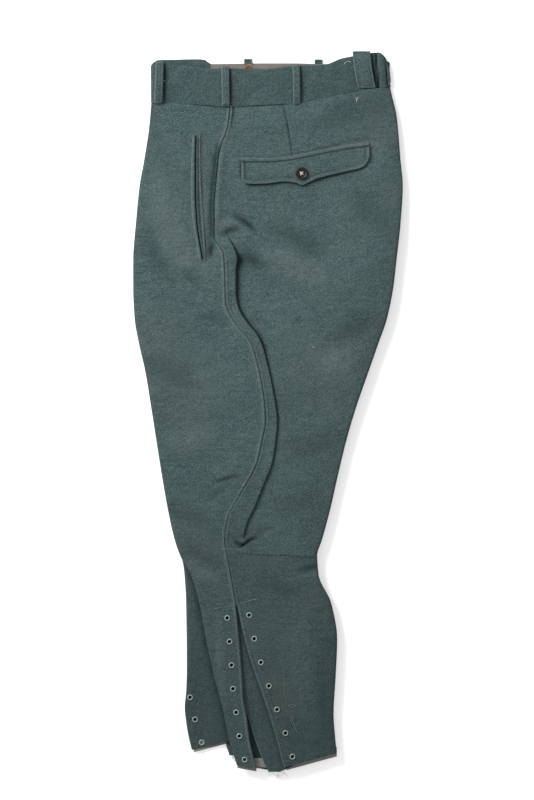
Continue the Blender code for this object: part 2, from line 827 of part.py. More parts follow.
def hip_pocket():
    """Jetted edge, flap and button of the hip pocket, on the back panel."""
    top_of = surface_of("left_back")
    first, last = FLAP[0].across, FLAP[-1].across

    def corner(across):
        """How far the rounded lower corners pull the edge up."""
        gap = min(across - first, last - across)
        if gap >= FLAP_CORNER:
            return 0.0
        return FLAP_CORNER - math.sqrt(FLAP_CORNER ** 2 - (FLAP_CORNER - gap) ** 2)

    def eased(share):
        """Shares that are closer together at both ends."""
        turn = FLAP_EASE + (1.0 - 2.0 * FLAP_EASE) * share
        return 0.5 - 0.5 * math.cos(math.pi * turn) / math.cos(math.pi * FLAP_EASE)

    def flap_outline(share):
        across = first + (last - first) * eased(share)
        top = curve(FLAP, "top", across)
        return across, top, curve(FLAP, "bottom", across) - corner(across)

    def welt_outline(share):
        across = first - WELT_OVERRUN + (last - first + WELT_OVERRUN) * share
        top = curve(FLAP, "top", across)
        return across, top - WELT_HEIGHT, top - SEAM

    def rest(across, down):
        return top_of(across, down) + REST

    patch("hip_flap", WOOL, FLAP_COLUMNS, FLAP_ROWS, flap_outline, rest,
          lambda across, down: rest(across, down) + CLOTH)
    patch("hip_welt", WOOL, WELT_COLUMNS, 2, welt_outline, rest,
          lambda across, down: rest(across, down) + LIP_CLOTH)
    across, down = HIP_BUTTON
    button("hip_button", HORN, across, down, surface_of("hip_flap")(across, down) + SEAM,
           HIP_BUTTON_RADIUS)
    across, down = INNER_BUTTON
    lining_top = surface_of("waistband_lining", "waistband_right")(across, down + INNER_BUTTON_RADIUS)
    button("inner_button", AMBER, across, down, lining_top + SEAM, INNER_BUTTON_RADIUS)


def turned(name, finish, profile, sides, across, down, height):
    """Solid of revolution about an upright axis; profile is a closed loop of radius, height."""
    shape = bmesh.new()
    verts = [shape.verts.new((radius, 0.0, z)) for radius, z in profile]
    edges = [shape.edges.new((verts[i], verts[i + 1])) for i in range(len(verts) - 1)]
    if profile[0][0] > 0.0:
        edges.append(shape.edges.new((verts[-1], verts[0])))
    bmesh.ops.spin(shape, geom=verts + edges, cent=(0, 0, 0), axis=(0, 0, 1),
                   angle=2 * math.pi, steps=sides, use_merge=True)
    bmesh.ops.translate(shape, verts=shape.verts, vec=world(across, down, height))
    return add(name, shape, finish)


def button(name, finish, across, down, height, radius):
    """Sew-through button with a raised rim and a dished middle."""
    thick = radius * BUTTON_THICKNESS
    profile = [(radius * out, thick * up) for out, up in BUTTON_OUTLINE]
    return turned(name, finish, profile, BUTTON_SIDES, across, down, height)


def eyelets():
    """Metal eyelets of the lacing, with their holes cut through the cloth."""
    columns = []
    front = [FRONT_EYELET_DOWN + EYELET_PITCH * i for i in range(EYELET_COUNT)]
    rear = [REAR_EYELET_DOWN + EYELET_PITCH * i for i in range(EYELET_COUNT)]
    columns.append(("eyelet_left_front", "left_front",
                    [(flap_edge(down) - EYELET_INSET, down) for down in front]))
    columns.append(("eyelet_left_rear", "left_calf",
                    [(rear_edge(down) + EYELET_INSET, down) for down in rear]))
    columns.append(("eyelet_right_front", "right_front", UNDER_EYELETS))
    for prefix, panel_name, places in columns:
        top_of = surface_of(panel_name)
        heights = [top_of(across, down) for across, down in places]
        cutter = bmesh.new()
        for (across, down), height in zip(places, heights):
            spot = Matrix.Translation(world(across, down, height - CLOTH / 2))
            bmesh.ops.create_cone(cutter, cap_ends=True, segments=EYELET_SIDES,
                                  radius1=EYELET_HOLE, radius2=EYELET_HOLE,
                                  depth=EYELET_CUT, matrix=spot)
        tool = add(prefix + "_holes", cutter, EYELET_METAL)
        tool.display_type = "WIRE"
        tool.hide_render = True
        cut = bpy.data.objects[panel_name].modifiers.new("eyelet_holes", "BOOLEAN")
        cut.operation = "DIFFERENCE"
        cut.solver = "EXACT"
        cut.object = tool
        profile = [(EYELET_BORE, -EYELET_DEPTH), (EYELET_BARREL, -EYELET_DEPTH),
                   (EYELET_BARREL, SEAM), (EYELET_FLANGE, SEAM),
                   (EYELET_BARREL, SEAM + EYELET_RISE)]
        for i, ((across, down), height) in enumerate(zip(places, heights)):
            turned(f"{prefix}_{i + 1}", EYELET_METAL, profile, EYELET_SIDES, across, down, height)


def tongues():
    """Tongues that lie behind the side slits, between the layers of each leg."""
    for name, table, left in (("left_tongue", LEFT_TONGUE, True),
                              ("right_tongue", RIGHT_TONGUE, False)):
        first, last = table[0].down, table[-1].down

        def place(row, column, table=table, left=left, first=first, last=last):
            down = first + (last - first) * row / TONGUE_ROWS
            front, back = curve(table, "front", down), curve(table, "back", down)
            across = front + (back - front) * column / TONGUE_COLUMNS
            if left:
                low = 2.0 * middle(across, down) - CLOTH - SEAM - TONGUE_CLOTH
            else:
                low = CLOTH + SEAM
            return world(across, down, low + TONGUE_CLOTH), world(across, down, low)

        wall(name, WOOL, TONGUE_ROWS, TONGUE_COLUMNS, place)


def hem_tapes():
    """Tapes that bind the hems on the inside and show just below them."""
    leg_top = 2.0 * MIDDLE_AT_LEG
    under_top = MIDDLE_AT_LEG - SEAM / 2 - INNER_CLEARANCE
    inner_top = MIDDLE_AT_LEG + SEAM / 2 + INNER_CLEARANCE + CLOTH
    under_base = under_top - CLOTH - SEAM - TAPE - SINK_ROOM
    outer_base = leg_top - CLOTH - SEAM - TAPE
    tapes = [(LEFT_FRONT_TAPE, lambda across, down: outer_base),
             (LEFT_CALF_TAPE, lambda across, down: outer_base),
             (LEFT_INSIDE_TAPE, lambda across, down: inner_top + SEAM),
             (RIGHT_FRONT_TAPE, lambda across, down: under_base - sink(across, down))]
    for tape, base in tapes:
        def place(row, column, tape=tape, base=base):
            share = row / TAPE_COLUMNS
            across = tape.first + (tape.last - tape.first) * share
            foot = tape.first_down + (tape.last_down - tape.first_down) * share
            down = foot - tape.above * (1.0 - column / 2)
            low = base(across, down)
            return world(across, down, low + TAPE), world(across, down, low)

        wall(tape.name, TAPE_CLOTH, TAPE_COLUMNS, 2, place)


def main():
    """Build every piece of the garment."""
    clear_scene()
    front_panels()
    back_panels()
    calf_panels()
    waistband()
    belt_loops()
    side_pocket()
    hip_pocket()
    tongues()
    hem_tapes()
    eyelets()


main()
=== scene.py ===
"""Looks of the laced riding breeches, laid flat on their right side.

A place on the garment is given as `down`, metres below the tip of the wide belt loop, and
`across`, metres behind the foremost point of the front edge. Heights are above the floor.
"""
import logging
import math
from dataclasses import dataclass, field
from enum import Enum
from typing import Callable, Optional, Sequence, Union

import bmesh
import bpy
import numpy as np
from mathutils import Matrix, Vector, noise


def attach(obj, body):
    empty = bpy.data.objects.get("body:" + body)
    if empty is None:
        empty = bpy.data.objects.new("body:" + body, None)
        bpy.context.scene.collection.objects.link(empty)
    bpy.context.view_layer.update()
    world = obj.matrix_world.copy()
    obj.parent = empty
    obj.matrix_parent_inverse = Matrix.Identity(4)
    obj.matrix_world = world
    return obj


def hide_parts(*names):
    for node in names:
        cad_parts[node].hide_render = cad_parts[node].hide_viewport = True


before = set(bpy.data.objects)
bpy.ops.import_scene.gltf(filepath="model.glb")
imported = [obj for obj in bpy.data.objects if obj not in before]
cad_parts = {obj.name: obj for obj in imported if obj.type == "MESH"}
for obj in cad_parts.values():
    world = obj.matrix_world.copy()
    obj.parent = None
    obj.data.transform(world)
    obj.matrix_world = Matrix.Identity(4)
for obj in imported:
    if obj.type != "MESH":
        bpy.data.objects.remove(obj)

log = logging.getLogger("breeches")
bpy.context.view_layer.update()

Array = np.ndarray
Number = Union[float, Array]


def smooth(t: Number) -> Number:
    """Ease from 0 to 1 as t goes from 0 to 1."""
    t = np.clip(t, 0.0, 1.0)
    return t * t * (3.0 - 2.0 * t)


def bell(gap: Number, width: Number) -> Number:
    """Return 1 where the gap is 0, less to both sides of it."""
    return np.exp(-((gap / width) ** 2))


def fall_off(gap: Number, reach: float) -> Number:
    """Return 1 up to a gap of 0, less beyond it."""
    return np.exp(-np.maximum(gap, 0.0) / reach)


def between(place: Number, first: float, rise: float, last: float, fall: float) -> Number:
    """Ease from 0 to 1 over `rise` from `first`, and back to 0 over `fall` up to `last`."""
    return smooth((place - first) / rise) * smooth((last - place) / fall)


@dataclass(frozen=True)
class Rise:
    """Rise of height or tone beside a line, or a fall when its size is below 0.

    Args:
        size: How much it is at most.
        reach: How far it reaches, in metres.
        offset: How far from the line it is strongest.
    """

    size: float
    reach: float
    offset: float = 0.0

    def around(self, gap: Number) -> Number:
        """Return it for gaps on both sides of its line."""
        return self.size * bell(gap - self.offset, self.reach)

    def beyond(self, gap: Number) -> Number:
        """Return it in full up to its line, and less beyond it."""
        return self.size * fall_off(gap, self.reach)


@dataclass(frozen=True)
class Curve:
    """Smooth curve through a few stations, with no overshoot between them.

    Args:
        keys: Places of the stations, in rising order.
        values: Values at the stations.
    """

    keys: tuple[float, ...]
    values: tuple[float, ...]

    def __call__(self, at: Number) -> Array:
        """Return the curve's value at one or many places."""
        keys = np.array(self.keys)
        values = np.array(self.values)
        span = np.diff(keys)
        slope = np.diff(values) / span
        tangent = np.zeros(len(keys))
        tangent[0], tangent[-1] = slope[0], slope[-1]
        before, after = slope[:-1], slope[1:]
        same = before * after > 0
        total = np.where(same, before + after, 1.0)
        tangent[1:-1] = np.where(same, 2 * before * after / total, 0.0)
        at = np.clip(np.asarray(at, dtype=float), keys[0], keys[-1])
        i = np.clip(np.searchsorted(keys, at, side="right") - 1, 0, len(span) - 1)
        t = (at - keys[i]) / span[i]
        start = (2 * t**3 - 3 * t**2 + 1) * values[i] + (t**3 - 2 * t**2 + t) * span[i] * tangent[i]
        end = (3 * t**2 - 2 * t**3) * values[i + 1] + (t**3 - t**2) * span[i] * tangent[i + 1]
        return start + end


def curve(*stations: tuple[float, float]) -> Curve:
    """Make a curve from (place, value) stations."""
    return Curve(tuple(s[0] for s in stations), tuple(s[1] for s in stations))


class Half(Enum):
    """Half of the garment: the left lies on top, the right lies on the floor."""

    LEFT = "left"
    RIGHT = "right"


@dataclass(frozen=True)
class Crease:
    """Soft trough or ridge in the cloth.

    Args:
        start: (across, down) of one end.
        end: (across, down) of the other end.
        width: Half width, in metres.
        rise: Height of the ridge, or a negative depth.
        bow: Sideways bend of its middle, in metres.
    """

    start: tuple[float, float]
    end: tuple[float, float]
    width: float
    rise: float
    bow: float = 0.0

    def height(self, across: Array, down: Array) -> Array:
        """Return how far the crease lifts the cloth at each place."""
        run = np.array([self.end[0] - self.start[0], self.end[1] - self.start[1]])
        length = float(np.hypot(*run))
        along = run / length
        x, y = across - self.start[0], down - self.start[1]
        t = (x * along[0] + y * along[1]) / length
        side = -x * along[1] + y * along[0]
        side = side - self.bow * 4.0 * np.clip(t, 0, 1) * (1.0 - np.clip(t, 0, 1))
        past = np.maximum(np.abs(t - 0.5) - 0.5, 0.0) * length
        taper = 0.35 + 0.65 * np.sin(np.pi * np.clip(t, 0.02, 0.98)) ** 0.7
        gap = np.sqrt(side**2 + (past * 1.6) ** 2)
        return self.rise * taper * bell(gap, self.width)


CREASES = (
    Crease((0.210, 0.078), (0.2225, 0.151), 0.0012, -0.0016, -0.0015),
    Crease((0.2080, 0.078), (0.2205, 0.151), 0.0016, 0.0006, -0.0015),
    Crease((0.1420, 0.6870), (0.1545, 0.6932), 0.0021, -0.0034, 0.0006),
    Crease((0.1540, 0.6932), (0.1730, 0.6835), 0.0023, -0.0032, -0.0016),
    Crease((0.1480, 0.6850), (0.1600, 0.6870), 0.0026, 0.0020, 0.0008),
    Crease((0.1720, 0.6840), (0.1960, 0.6690), 0.0050, -0.0014, -0.0030),
    Crease((0.1120, 0.2700), (0.1080, 0.2900), 0.0040, -0.0016, 0.0010),
    Crease((0.1440, 0.2900), (0.1900, 0.3060), 0.0080, -0.0018, -0.0030),
    Crease((0.1120, 0.6060), (0.1480, 0.5960), 0.0030, -0.0010, -0.0010),
    Crease((0.1000, 0.6340), (0.1320, 0.6160), 0.0050, -0.0010, -0.0016),
    Crease((0.141, 0.232), (0.171, 0.254), 0.0042, -0.0014, -0.003),
    Crease((0.126, 0.258), (0.146, 0.250), 0.0040, -0.0013, -0.002),
    Crease((0.120, 0.247), (0.150, 0.240), 0.0070, 0.0010),
    Crease((0.198, 0.254), (0.262, 0.286), 0.0140, -0.0020, -0.006),
    Crease((0.190, 0.292), (0.268, 0.318), 0.0160, 0.0016, -0.004),
    Crease((0.150, 0.280), (0.180, 0.300), 0.0120, -0.0016),
    Crease((0.068, 0.310), (0.094, 0.330), 0.0070, -0.0015, -0.002),
    Crease((0.096, 0.372), (0.132, 0.388), 0.0090, -0.0013, -0.003),
    Crease((0.030, 0.180), (0.070, 0.300), 0.0200, 0.0014, 0.006),
    Crease((0.020, 0.255), (0.060, 0.330), 0.0120, -0.0011, 0.004),
    Crease((0.286, 0.400), (0.340, 0.372), 0.0150, -0.0016, 0.004),
    Crease((0.262, 0.440), (0.316, 0.424), 0.0170, 0.0013, 0.004),
    Crease((0.250, 0.112), (0.352, 0.100), 0.0140, -0.0012, -0.004),
    Crease((0.310, 0.190), (0.360, 0.250), 0.0180, -0.0014, 0.006),
    Crease((0.024, 0.440), (0.080, 0.470), 0.0170, -0.0014, -0.004),
    Crease((0.040, 0.560), (0.110, 0.540), 0.0160, 0.0012, -0.004),
    Crease((0.050, 0.640), (0.105, 0.660), 0.0130, -0.0013, 0.004),
    Crease((0.072, 0.690), (0.120, 0.720), 0.0100, -0.0016, 0.004),
    Crease((0.078, 0.716), (0.118, 0.745), 0.0090, 0.0014, 0.003),
    Crease((0.205, 0.640), (0.262, 0.622), 0.0130, -0.0013, 0.004),
    Crease((0.215, 0.560), (0.290, 0.540), 0.0180, -0.0012, 0.006),
    Crease((0.233, 0.728), (0.262, 0.722), 0.0048, -0.0022, 0.0015),
    Crease((0.225, 0.742), (0.262, 0.738), 0.0060, 0.0014),
    Crease((0.180, 0.742), (0.230, 0.760), 0.0110, -0.0010, 0.003),
    Crease((0.236, 0.800), (0.262, 0.960), 0.0180, 0.0016, 0.004),
    Crease((0.262, 0.850), (0.275, 0.970), 0.0120, -0.0012, 0.003),
    Crease((0.140, 0.690), (0.170, 0.700), 0.0060, -0.0018, -0.004),
    Crease((0.120, 0.790), (0.132, 0.980), 0.0070, 0.0010, 0.002),
)


@dataclass(frozen=True)
class Garment:
    """Shape of the garment: its outline, its layers and its relief."""

    length: float = 1.011
    width: float = 0.378
    cloth: float = 0.0020
    seam: float = 0.0003
    inner_space: float = 0.0013
    middle_at_pelvis: float = 0.0030
    middle_at_crotch: float = 0.0048
    middle_at_leg: float = 0.0073
    climb_above: float = 0.065
    climb_below: float = 0.120
    crotch_top: float = 0.140
    turn_run: float = 0.045
    fork_down: float = 0.315
    fork_across: float = 0.160
    waist_down: float = 0.076
    knee_down: float = 0.707
    slit_down: float = 0.776
    front_hem: float = 1.003
    calf_hem: float = 0.994
    under_front_hem: float = 0.976
    under_calf_hem: float = 0.978
    under_inset: float = 0.002
    hem_fade: float = 0.070
    waist_fade: float = 0.085
    fold_height: float = 0.0062
    fold_reach: float = 0.075
    puff: float = 0.0020
    puff_reach: float = 0.012
    valley_floor: Rise = Rise(-0.0042, 0.0042, -0.0022)
    valley_bank: Rise = Rise(0.0016, 0.0045, 0.0050)
    waist_dent: Rise = Rise(-0.0011, 0.0035)
    seam_dent: Rise = Rise(-0.0013, 0.0012)
    seam_bank: Rise = Rise(0.0007, 0.0013, 0.0024)
    flap_lift: float = 0.0030
    flap_sink: float = 0.0024
    front: Curve = curve(
        (0.052, 0.027), (0.076, 0.025), (0.110, 0.022), (0.155, 0.015), (0.189, 0.009),
        (0.240, 0.004), (0.295, 0.000), (0.330, 0.000), (0.375, 0.002), (0.410, 0.008),
        (0.450, 0.017), (0.505, 0.026), (0.550, 0.033), (0.600, 0.041), (0.640, 0.048),
        (0.685, 0.058), (0.708, 0.066), (0.735, 0.081), (0.776, 0.093), (0.825, 0.102),
        (0.875, 0.113), (0.930, 0.127), (0.967, 0.134), (1.003, 0.145))
    back: Curve = curve(
        (0.052, 0.359), (0.076, 0.361), (0.110, 0.370), (0.155, 0.375), (0.189, 0.378),
        (0.240, 0.375), (0.295, 0.369), (0.330, 0.365), (0.375, 0.356), (0.410, 0.344),
        (0.450, 0.330), (0.505, 0.311), (0.550, 0.298), (0.600, 0.286), (0.640, 0.277),
        (0.685, 0.265), (0.708, 0.258), (0.735, 0.260), (0.776, 0.278), (0.825, 0.286),
        (0.875, 0.284), (0.930, 0.281), (0.967, 0.283), (1.003, 0.286))
    side: Curve = curve(
        (0.052, 0.134), (0.070, 0.134), (0.081, 0.136), (0.105, 0.133), (0.130, 0.1246),
        (0.147, 0.1204), (0.175, 0.1176), (0.196, 0.1155), (0.217, 0.1141), (0.263, 0.1145),
        (0.276, 0.1226), (0.285, 0.1275), (0.308, 0.1288), (0.336, 0.1295), (0.354, 0.1305),
        (0.368, 0.1350), (0.382, 0.1428), (0.393, 0.1512), (0.402, 0.1600), (0.412, 0.1666),
        (0.430, 0.1722), (0.452, 0.1778), (0.476, 0.1820), (0.497, 0.1848), (0.518, 0.1858),
        (0.546, 0.1812), (0.577, 0.1740), (0.623, 0.1498), (0.655, 0.1335), (0.686, 0.1288),
        (0.699, 0.1305), (0.735, 0.1372), (0.776, 0.1444))
    lip: Curve = curve(
        (0.240, 0.1270), (0.255, 0.1310), (0.266, 0.1355), (0.278, 0.1414), (0.292, 0.1456),
        (0.308, 0.1437), (0.336, 0.1435), (0.354, 0.1456), (0.367, 0.1500), (0.384, 0.1612),
        (0.399, 0.1736), (0.414, 0.1806), (0.434, 0.1862), (0.458, 0.1918), (0.479, 0.1960),
        (0.504, 0.2000), (0.518, 0.2014), (0.532, 0.2006), (0.574, 0.1950), (0.609, 0.1820),
        (0.637, 0.1708), (0.665, 0.1582), (0.685, 0.1540), (0.700, 0.1525))
    fold_rise: Curve = curve(
        (0.260, 0.0), (0.272, 0.55), (0.292, 1.0), (0.315, 0.75), (0.350, 0.85), (0.385, 1.0),
        (0.410, 0.85), (0.450, 0.55), (0.560, 0.55), (0.660, 0.60), (0.674, 0.50), (0.685, 0.0))
    fold_shadow: Curve = curve(
        (0.262, 0.0014), (0.285, 0.0030), (0.297, 0.0092), (0.310, 0.0072), (0.335, 0.0070),
        (0.352, 0.0028), (0.378, 0.0056), (0.405, 0.0050), (0.440, 0.0026), (0.700, 0.0018))
    slit_front: Curve = curve(
        (0.776, 0.1440), (0.825, 0.149), (0.875, 0.153), (0.910, 0.155), (0.930, 0.159),
        (0.967, 0.164), (1.003, 0.173))
    slit_rear: Curve = curve(
        (0.776, 0.1455), (0.825, 0.156), (0.860, 0.166), (0.892, 0.177), (0.930, 0.190),
        (0.967, 0.203), (1.003, 0.213))
    flap_top: Curve = curve(
        (0.1525, 0.1557), (0.1890, 0.1560), (0.2140, 0.1540), (0.2400, 0.1495), (0.2700, 0.1435),
        (0.2970, 0.1385), (0.3310, 0.1335))
    flap_foot: Curve = curve(
        (0.1525, 0.1855), (0.1700, 0.1868), (0.1890, 0.1858), (0.2130, 0.1832), (0.2280, 0.1850),
        (0.2375, 0.1885), (0.2450, 0.1850), (0.2570, 0.1795), (0.2970, 0.1695), (0.3170, 0.1650),
        (0.3250, 0.1610), (0.3310, 0.1540))
    pocket_slit: Curve = curve(
        (0.119, 0.0885), (0.165, 0.0875), (0.205, 0.0878), (0.240, 0.0895), (0.294, 0.0978))
    inseam: Curve = curve((0.315, 0.160), (0.500, 0.168), (0.700, 0.168), (0.830, 0.196),
                          (1.003, 0.196))
    band_seam: Curve = curve(
        (0.025, 0.0730), (0.060, 0.0735), (0.098, 0.0755), (0.125, 0.0770), (0.186, 0.0755),
        (0.225, 0.0740), (0.268, 0.0655), (0.293, 0.0600), (0.320, 0.0550), (0.344, 0.0520),
        (0.360, 0.0520))
    band_near: Curve = curve(
        (0.025, 0.0230), (0.028, 0.0175), (0.034, 0.0165), (0.060, 0.0200), (0.098, 0.0245),
        (0.107, 0.0255), (0.125, 0.0250), (0.186, 0.0260), (0.225, 0.0215), (0.268, 0.0200),
        (0.293, 0.0110), (0.320, 0.0060), (0.344, 0.0025), (0.352, 0.0085), (0.358, 0.0250),
        (0.360, 0.0400))
    band_far: Curve = curve(
        (0.025, 0.0185), (0.034, 0.0125), (0.060, 0.0118), (0.090, 0.0112), (0.102, 0.0125),
        (0.1065, 0.0170), (0.109, 0.0180), (0.186, 0.0170), (0.225, 0.0170), (0.268, 0.0180),
        (0.293, 0.0165), (0.320, 0.0130), (0.344, 0.0090), (0.360, 0.0160))

    def edge(self, which: Curve, down: Array, half: Half) -> Array:
        """Return a front or back edge; the right half lies a little inside the left one."""
        inset = 0.0 if half is Half.LEFT else self.under_inset
        return which(down) + (inset if which is self.front else -inset)

    def crotch_share(self, down: Array) -> Array:
        """Share of the way from an edge to the fork that the crotch seam has covered."""
        t = np.clip((down - self.crotch_top) / (self.fork_down - self.crotch_top), 0.0, 1.0)
        return np.arcsin(t) / (math.pi / 2)

    def middle(self, across: Array, down: Array) -> Array:
        """Height of the surface where the right half and the left half meet."""
        front, back = self.front(down), self.back(down)
        ahead = (across - front) / (self.fork_across - front)
        behind = (back - across) / (back - self.fork_across)
        share = np.clip(np.where(across < self.fork_across, ahead, behind), 0.0, 1.0)
        line = self.crotch_top + (self.fork_down - self.crotch_top) * np.sin(np.pi / 2 * share)
        below = down - line
        above = smooth(1.0 + below / self.climb_above)
        upper = self.middle_at_pelvis + (self.middle_at_crotch - self.middle_at_pelvis) * above
        climb = smooth(below / self.climb_below)
        lower = self.middle_at_crotch + (self.middle_at_leg - self.middle_at_crotch) * climb
        return np.where(below < 0, upper, lower)

    def relief(self, across: Array, down: Array) -> Array:
        """How far the left half's outer layer stands off its plain level."""
        to_front = np.maximum(across - self.front(down), 0.0)
        to_back = np.maximum(self.back(down) - across, 0.0)
        near = np.minimum(to_front, to_back)
        lift = self.puff * (1.0 - np.exp(-near / self.puff_reach))
        lift = lift * (0.15 + 0.85 * smooth((down - self.band_seam(across)) / 0.035))
        for crease in CREASES:
            lift = lift + crease.height(across, down)
        side = self.side(down)
        ramp = smooth(1.0 - (side - across) / self.fold_reach) * (across <= side + 1e-4)
        along = between(down, 0.262, 0.050, 0.715, 0.130)
        lift = lift + self.fold_height * 0.62 * along * ramp
        valley = between(down, 0.115, 0.040, 0.275, 0.020)
        lift = lift + valley * self.valley_floor.around(across - side)
        lift = lift + valley * self.valley_bank.around(across - side)
        lift = lift + self.waist_dent.around(down - self.band_seam(across))
        flap = smooth((down - 0.86) / 0.10) * smooth((across - self.front(down)) / 0.030)
        return lift + self.flap_lift * flap * (across < 0.176)

    def sink(self, across: Array, down: Array) -> Array:
        """How much lower the open flap of the under leg lies."""
        low = smooth((down - 0.85) / 0.05) * (1.0 - smooth((across - 0.09) / 0.04))
        return self.flap_sink * low

    def top(self, across: Number, down: Number) -> Array:
        """Height of the left outer layer's middle line, with its relief."""
        across, down = np.asarray(across, float), np.asarray(down, float)
        return 2.0 * self.middle(across, down) - self.cloth / 2 + self.relief(across, down)

    def world(self, across: Array, down: Array, height: Array) -> Array:
        """Points in metres in the part's frame, as an array with a last axis of three."""
        x = across - self.width / 2.0
        y = self.length / 2.0 - down
        return np.stack(np.broadcast_arrays(x, y, height), axis=-1)

    def point(self, across: float, down: float, height: float) -> Vector:
        """One point in metres in the part's frame."""
        return Vector((across - self.width / 2.0, self.length / 2.0 - down, height))


G = Garment()


def ruffle(points: Array, size: float, seed: float) -> Array:
    """Soft noise at each point, from about -1 to 1.

    Args:
        points: Array of points.
        size: Size of the noise's lumps, in metres.
        seed: Offset that picks the pattern.

    Returns:
        One value for each point.
    """
    flat = points.reshape(-1, 3) / size
    values = [noise.noise(Vector((x + seed, y - seed, z + seed))) for x, y, z in flat]
    return np.array(values).reshape(points.shape[:-1])


@dataclass
class Piece:
    """A finished mesh object and what it stands for.

    Args:
        name: Name of the object; not used.
        nodes: CAD nodes that it replaces.
        slot: Material slot; not used.
    """

    name: str
    nodes: Sequence[str]
    slot: str

    def finish(self, thing: bpy.types.Object, material: bpy.types.Material) -> bpy.types.Object:
        """Give an object its material and body, and hide the CAD nodes that it replaces.

        Args:
            thing: The object.
            material: Its finish.

        Returns:
            The same object.
        """
        thing.data.materials.clear()
        thing.data.materials.append(material)
        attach(thing, "root")
        if self.nodes:
            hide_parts(*self.nodes)
        log.info("%s: %d faces", thing.name, len(thing.data.polygons))
        return thing


def link(name: str, mesh: bpy.types.Mesh) -> bpy.types.Object:
    """Put a mesh into the scene as an object at the origin."""
    thing = bpy.data.objects.new(name, mesh)
    bpy.context.scene.collection.objects.link(thing)
    return thing


# Eyelet holes
HOLE_RADIUS = 0.0030
HOLE_REACH = 0.0065
FAR_HOLE_REACH = 0.0100
FAR_HOLES_ACROSS = 0.100
HOLE_FLOOR = 0.0026
HOLE_LAYER = 0.0015


def punch(shape: bmesh.types.BMesh, holes: Sequence[tuple[float, float]]) -> None:
    """Cut round holes through a sheet's upper layer, at (across, down) places."""
    for across, down in holes:
        spot = G.point(across, down, 0.0)
        reach = HOLE_REACH if across > FAR_HOLES_ACROSS else FAR_HOLE_REACH
        near = [edge for edge in shape.edges
                if all((vert.co.xy - spot.xy).length < reach and vert.co.z > HOLE_FLOOR
                       for vert in edge.verts)]
        bmesh.ops.subdivide_edges(shape, edges=near, cuts=3, use_grid_fill=True)
        gone = [face for face in shape.faces
                if (face.calc_center_median().xy - spot.xy).length < HOLE_RADIUS
                and abs(face.normal.z) > 0.5]
        gone.sort(key=lambda face: -face.calc_center_median().z)
        top = gone[0].calc_center_median().z if gone else 0.0
        gone = [face for face in gone if face.calc_center_median().z > top - HOLE_LAYER]
        bmesh.ops.delete(shape, geom=gone, context="FACES")


def sheet(name: str, points: Array, wear: Optional[Array] = None, thickness: float = G.cloth,
          rounding: float = 0.0005,
          holes: Sequence[tuple[float, float]] = ()) -> bpy.types.Object:
    """Make a cloth sheet from a grid of points, with its wall and rounded edges.

    Args:
        name: Name of the object.
        points: Array of rows by columns by three, on the sheet's middle surface.
        wear: Painted light for each point: above 0 a painted highlight that lightens its colour, below
            0 painted shade and the darker tone of some pieces, which darken it.
        thickness: Thickness of the cloth.
        rounding: Radius of the rounded cut edges.
        holes: (across, down) of each eyelet hole.

    Returns:
        The object, with its modifiers live.
    """
    rows, columns = points.shape[0] - 1, points.shape[1] - 1
    shape = bmesh.new()
    bmesh.ops.create_grid(shape, x_segments=columns, y_segments=rows, size=1.0)
    mesh = bpy.data.meshes.new(name)
    shape.to_mesh(mesh)
    shape.free()
    places = np.empty(len(mesh.vertices) * 3)
    mesh.vertices.foreach_get("co", places)
    places = places.reshape(-1, 3)
    column = np.rint((places[:, 0] + 1) / 2 * columns).astype(int)
    row = np.rint((places[:, 1] + 1) / 2 * rows).astype(int)
    mesh.vertices.foreach_set("co", points[row, column].ravel())
    # Painted highlights and painted shade are stored on the mesh for the material.
    layer = mesh.attributes.new("wear", "FLOAT", "POINT")
    if wear is not None:
        layer.data.foreach_set("value", wear[row, column].astype(np.float32).ravel())
    steps_across = np.linalg.norm(np.diff(points, axis=1), axis=2)
    run = np.concatenate([np.zeros((rows + 1, 1)), np.cumsum(steps_across, axis=1)], axis=1)
    steps_down = np.linalg.norm(np.diff(points, axis=0), axis=2).mean(axis=1)
    fall = np.concatenate([[0.0], np.cumsum(steps_down)])
    uv = mesh.uv_layers.new(name="UVMap")
    corner = np.empty(len(mesh.loops), dtype=int)
    mesh.loops.foreach_get("vertex_index", corner)
    flat = np.stack([run[row, column], fall[row]], axis=1)[corner]
    uv.data.foreach_set("uv", flat.ravel())
    mesh.update()
    shape = bmesh.new()
    shape.from_mesh(mesh)
    bmesh.ops.remove_doubles(shape, verts=shape.verts, dist=1e-6)
    if sum(face.normal.z for face in shape.faces) < 0:
        bmesh.ops.reverse_faces(shape, faces=shape.faces)
    punch(shape, holes)
    shape.to_mesh(mesh)
    shape.free()
    mesh.shade_smooth()
    thing = link(name, mesh)
    wall = thing.modifiers.new("wall", "SOLIDIFY")
    wall.thickness = thickness
    wall.offset = 0.0
    soften = thing.modifiers.new("rounded_edges", "BEVEL")
    soften.width = rounding
    soften.segments = 2
    soften.limit_method = "ANGLE"
    soften.angle_limit = math.radians(62)
    return thing


def shares(stops: Sequence[tuple[float, float]]) -> Array:
    """Places along a line from 0 to 1: each stop is (share, pitch as a share) up to there."""
    places = [0.0]
    for end, pitch in stops:
        start = places[-1]
        count = max(1, round((end - start) / pitch))
        places.extend(np.linspace(start, end, count + 1)[1:])
    return np.array(places)


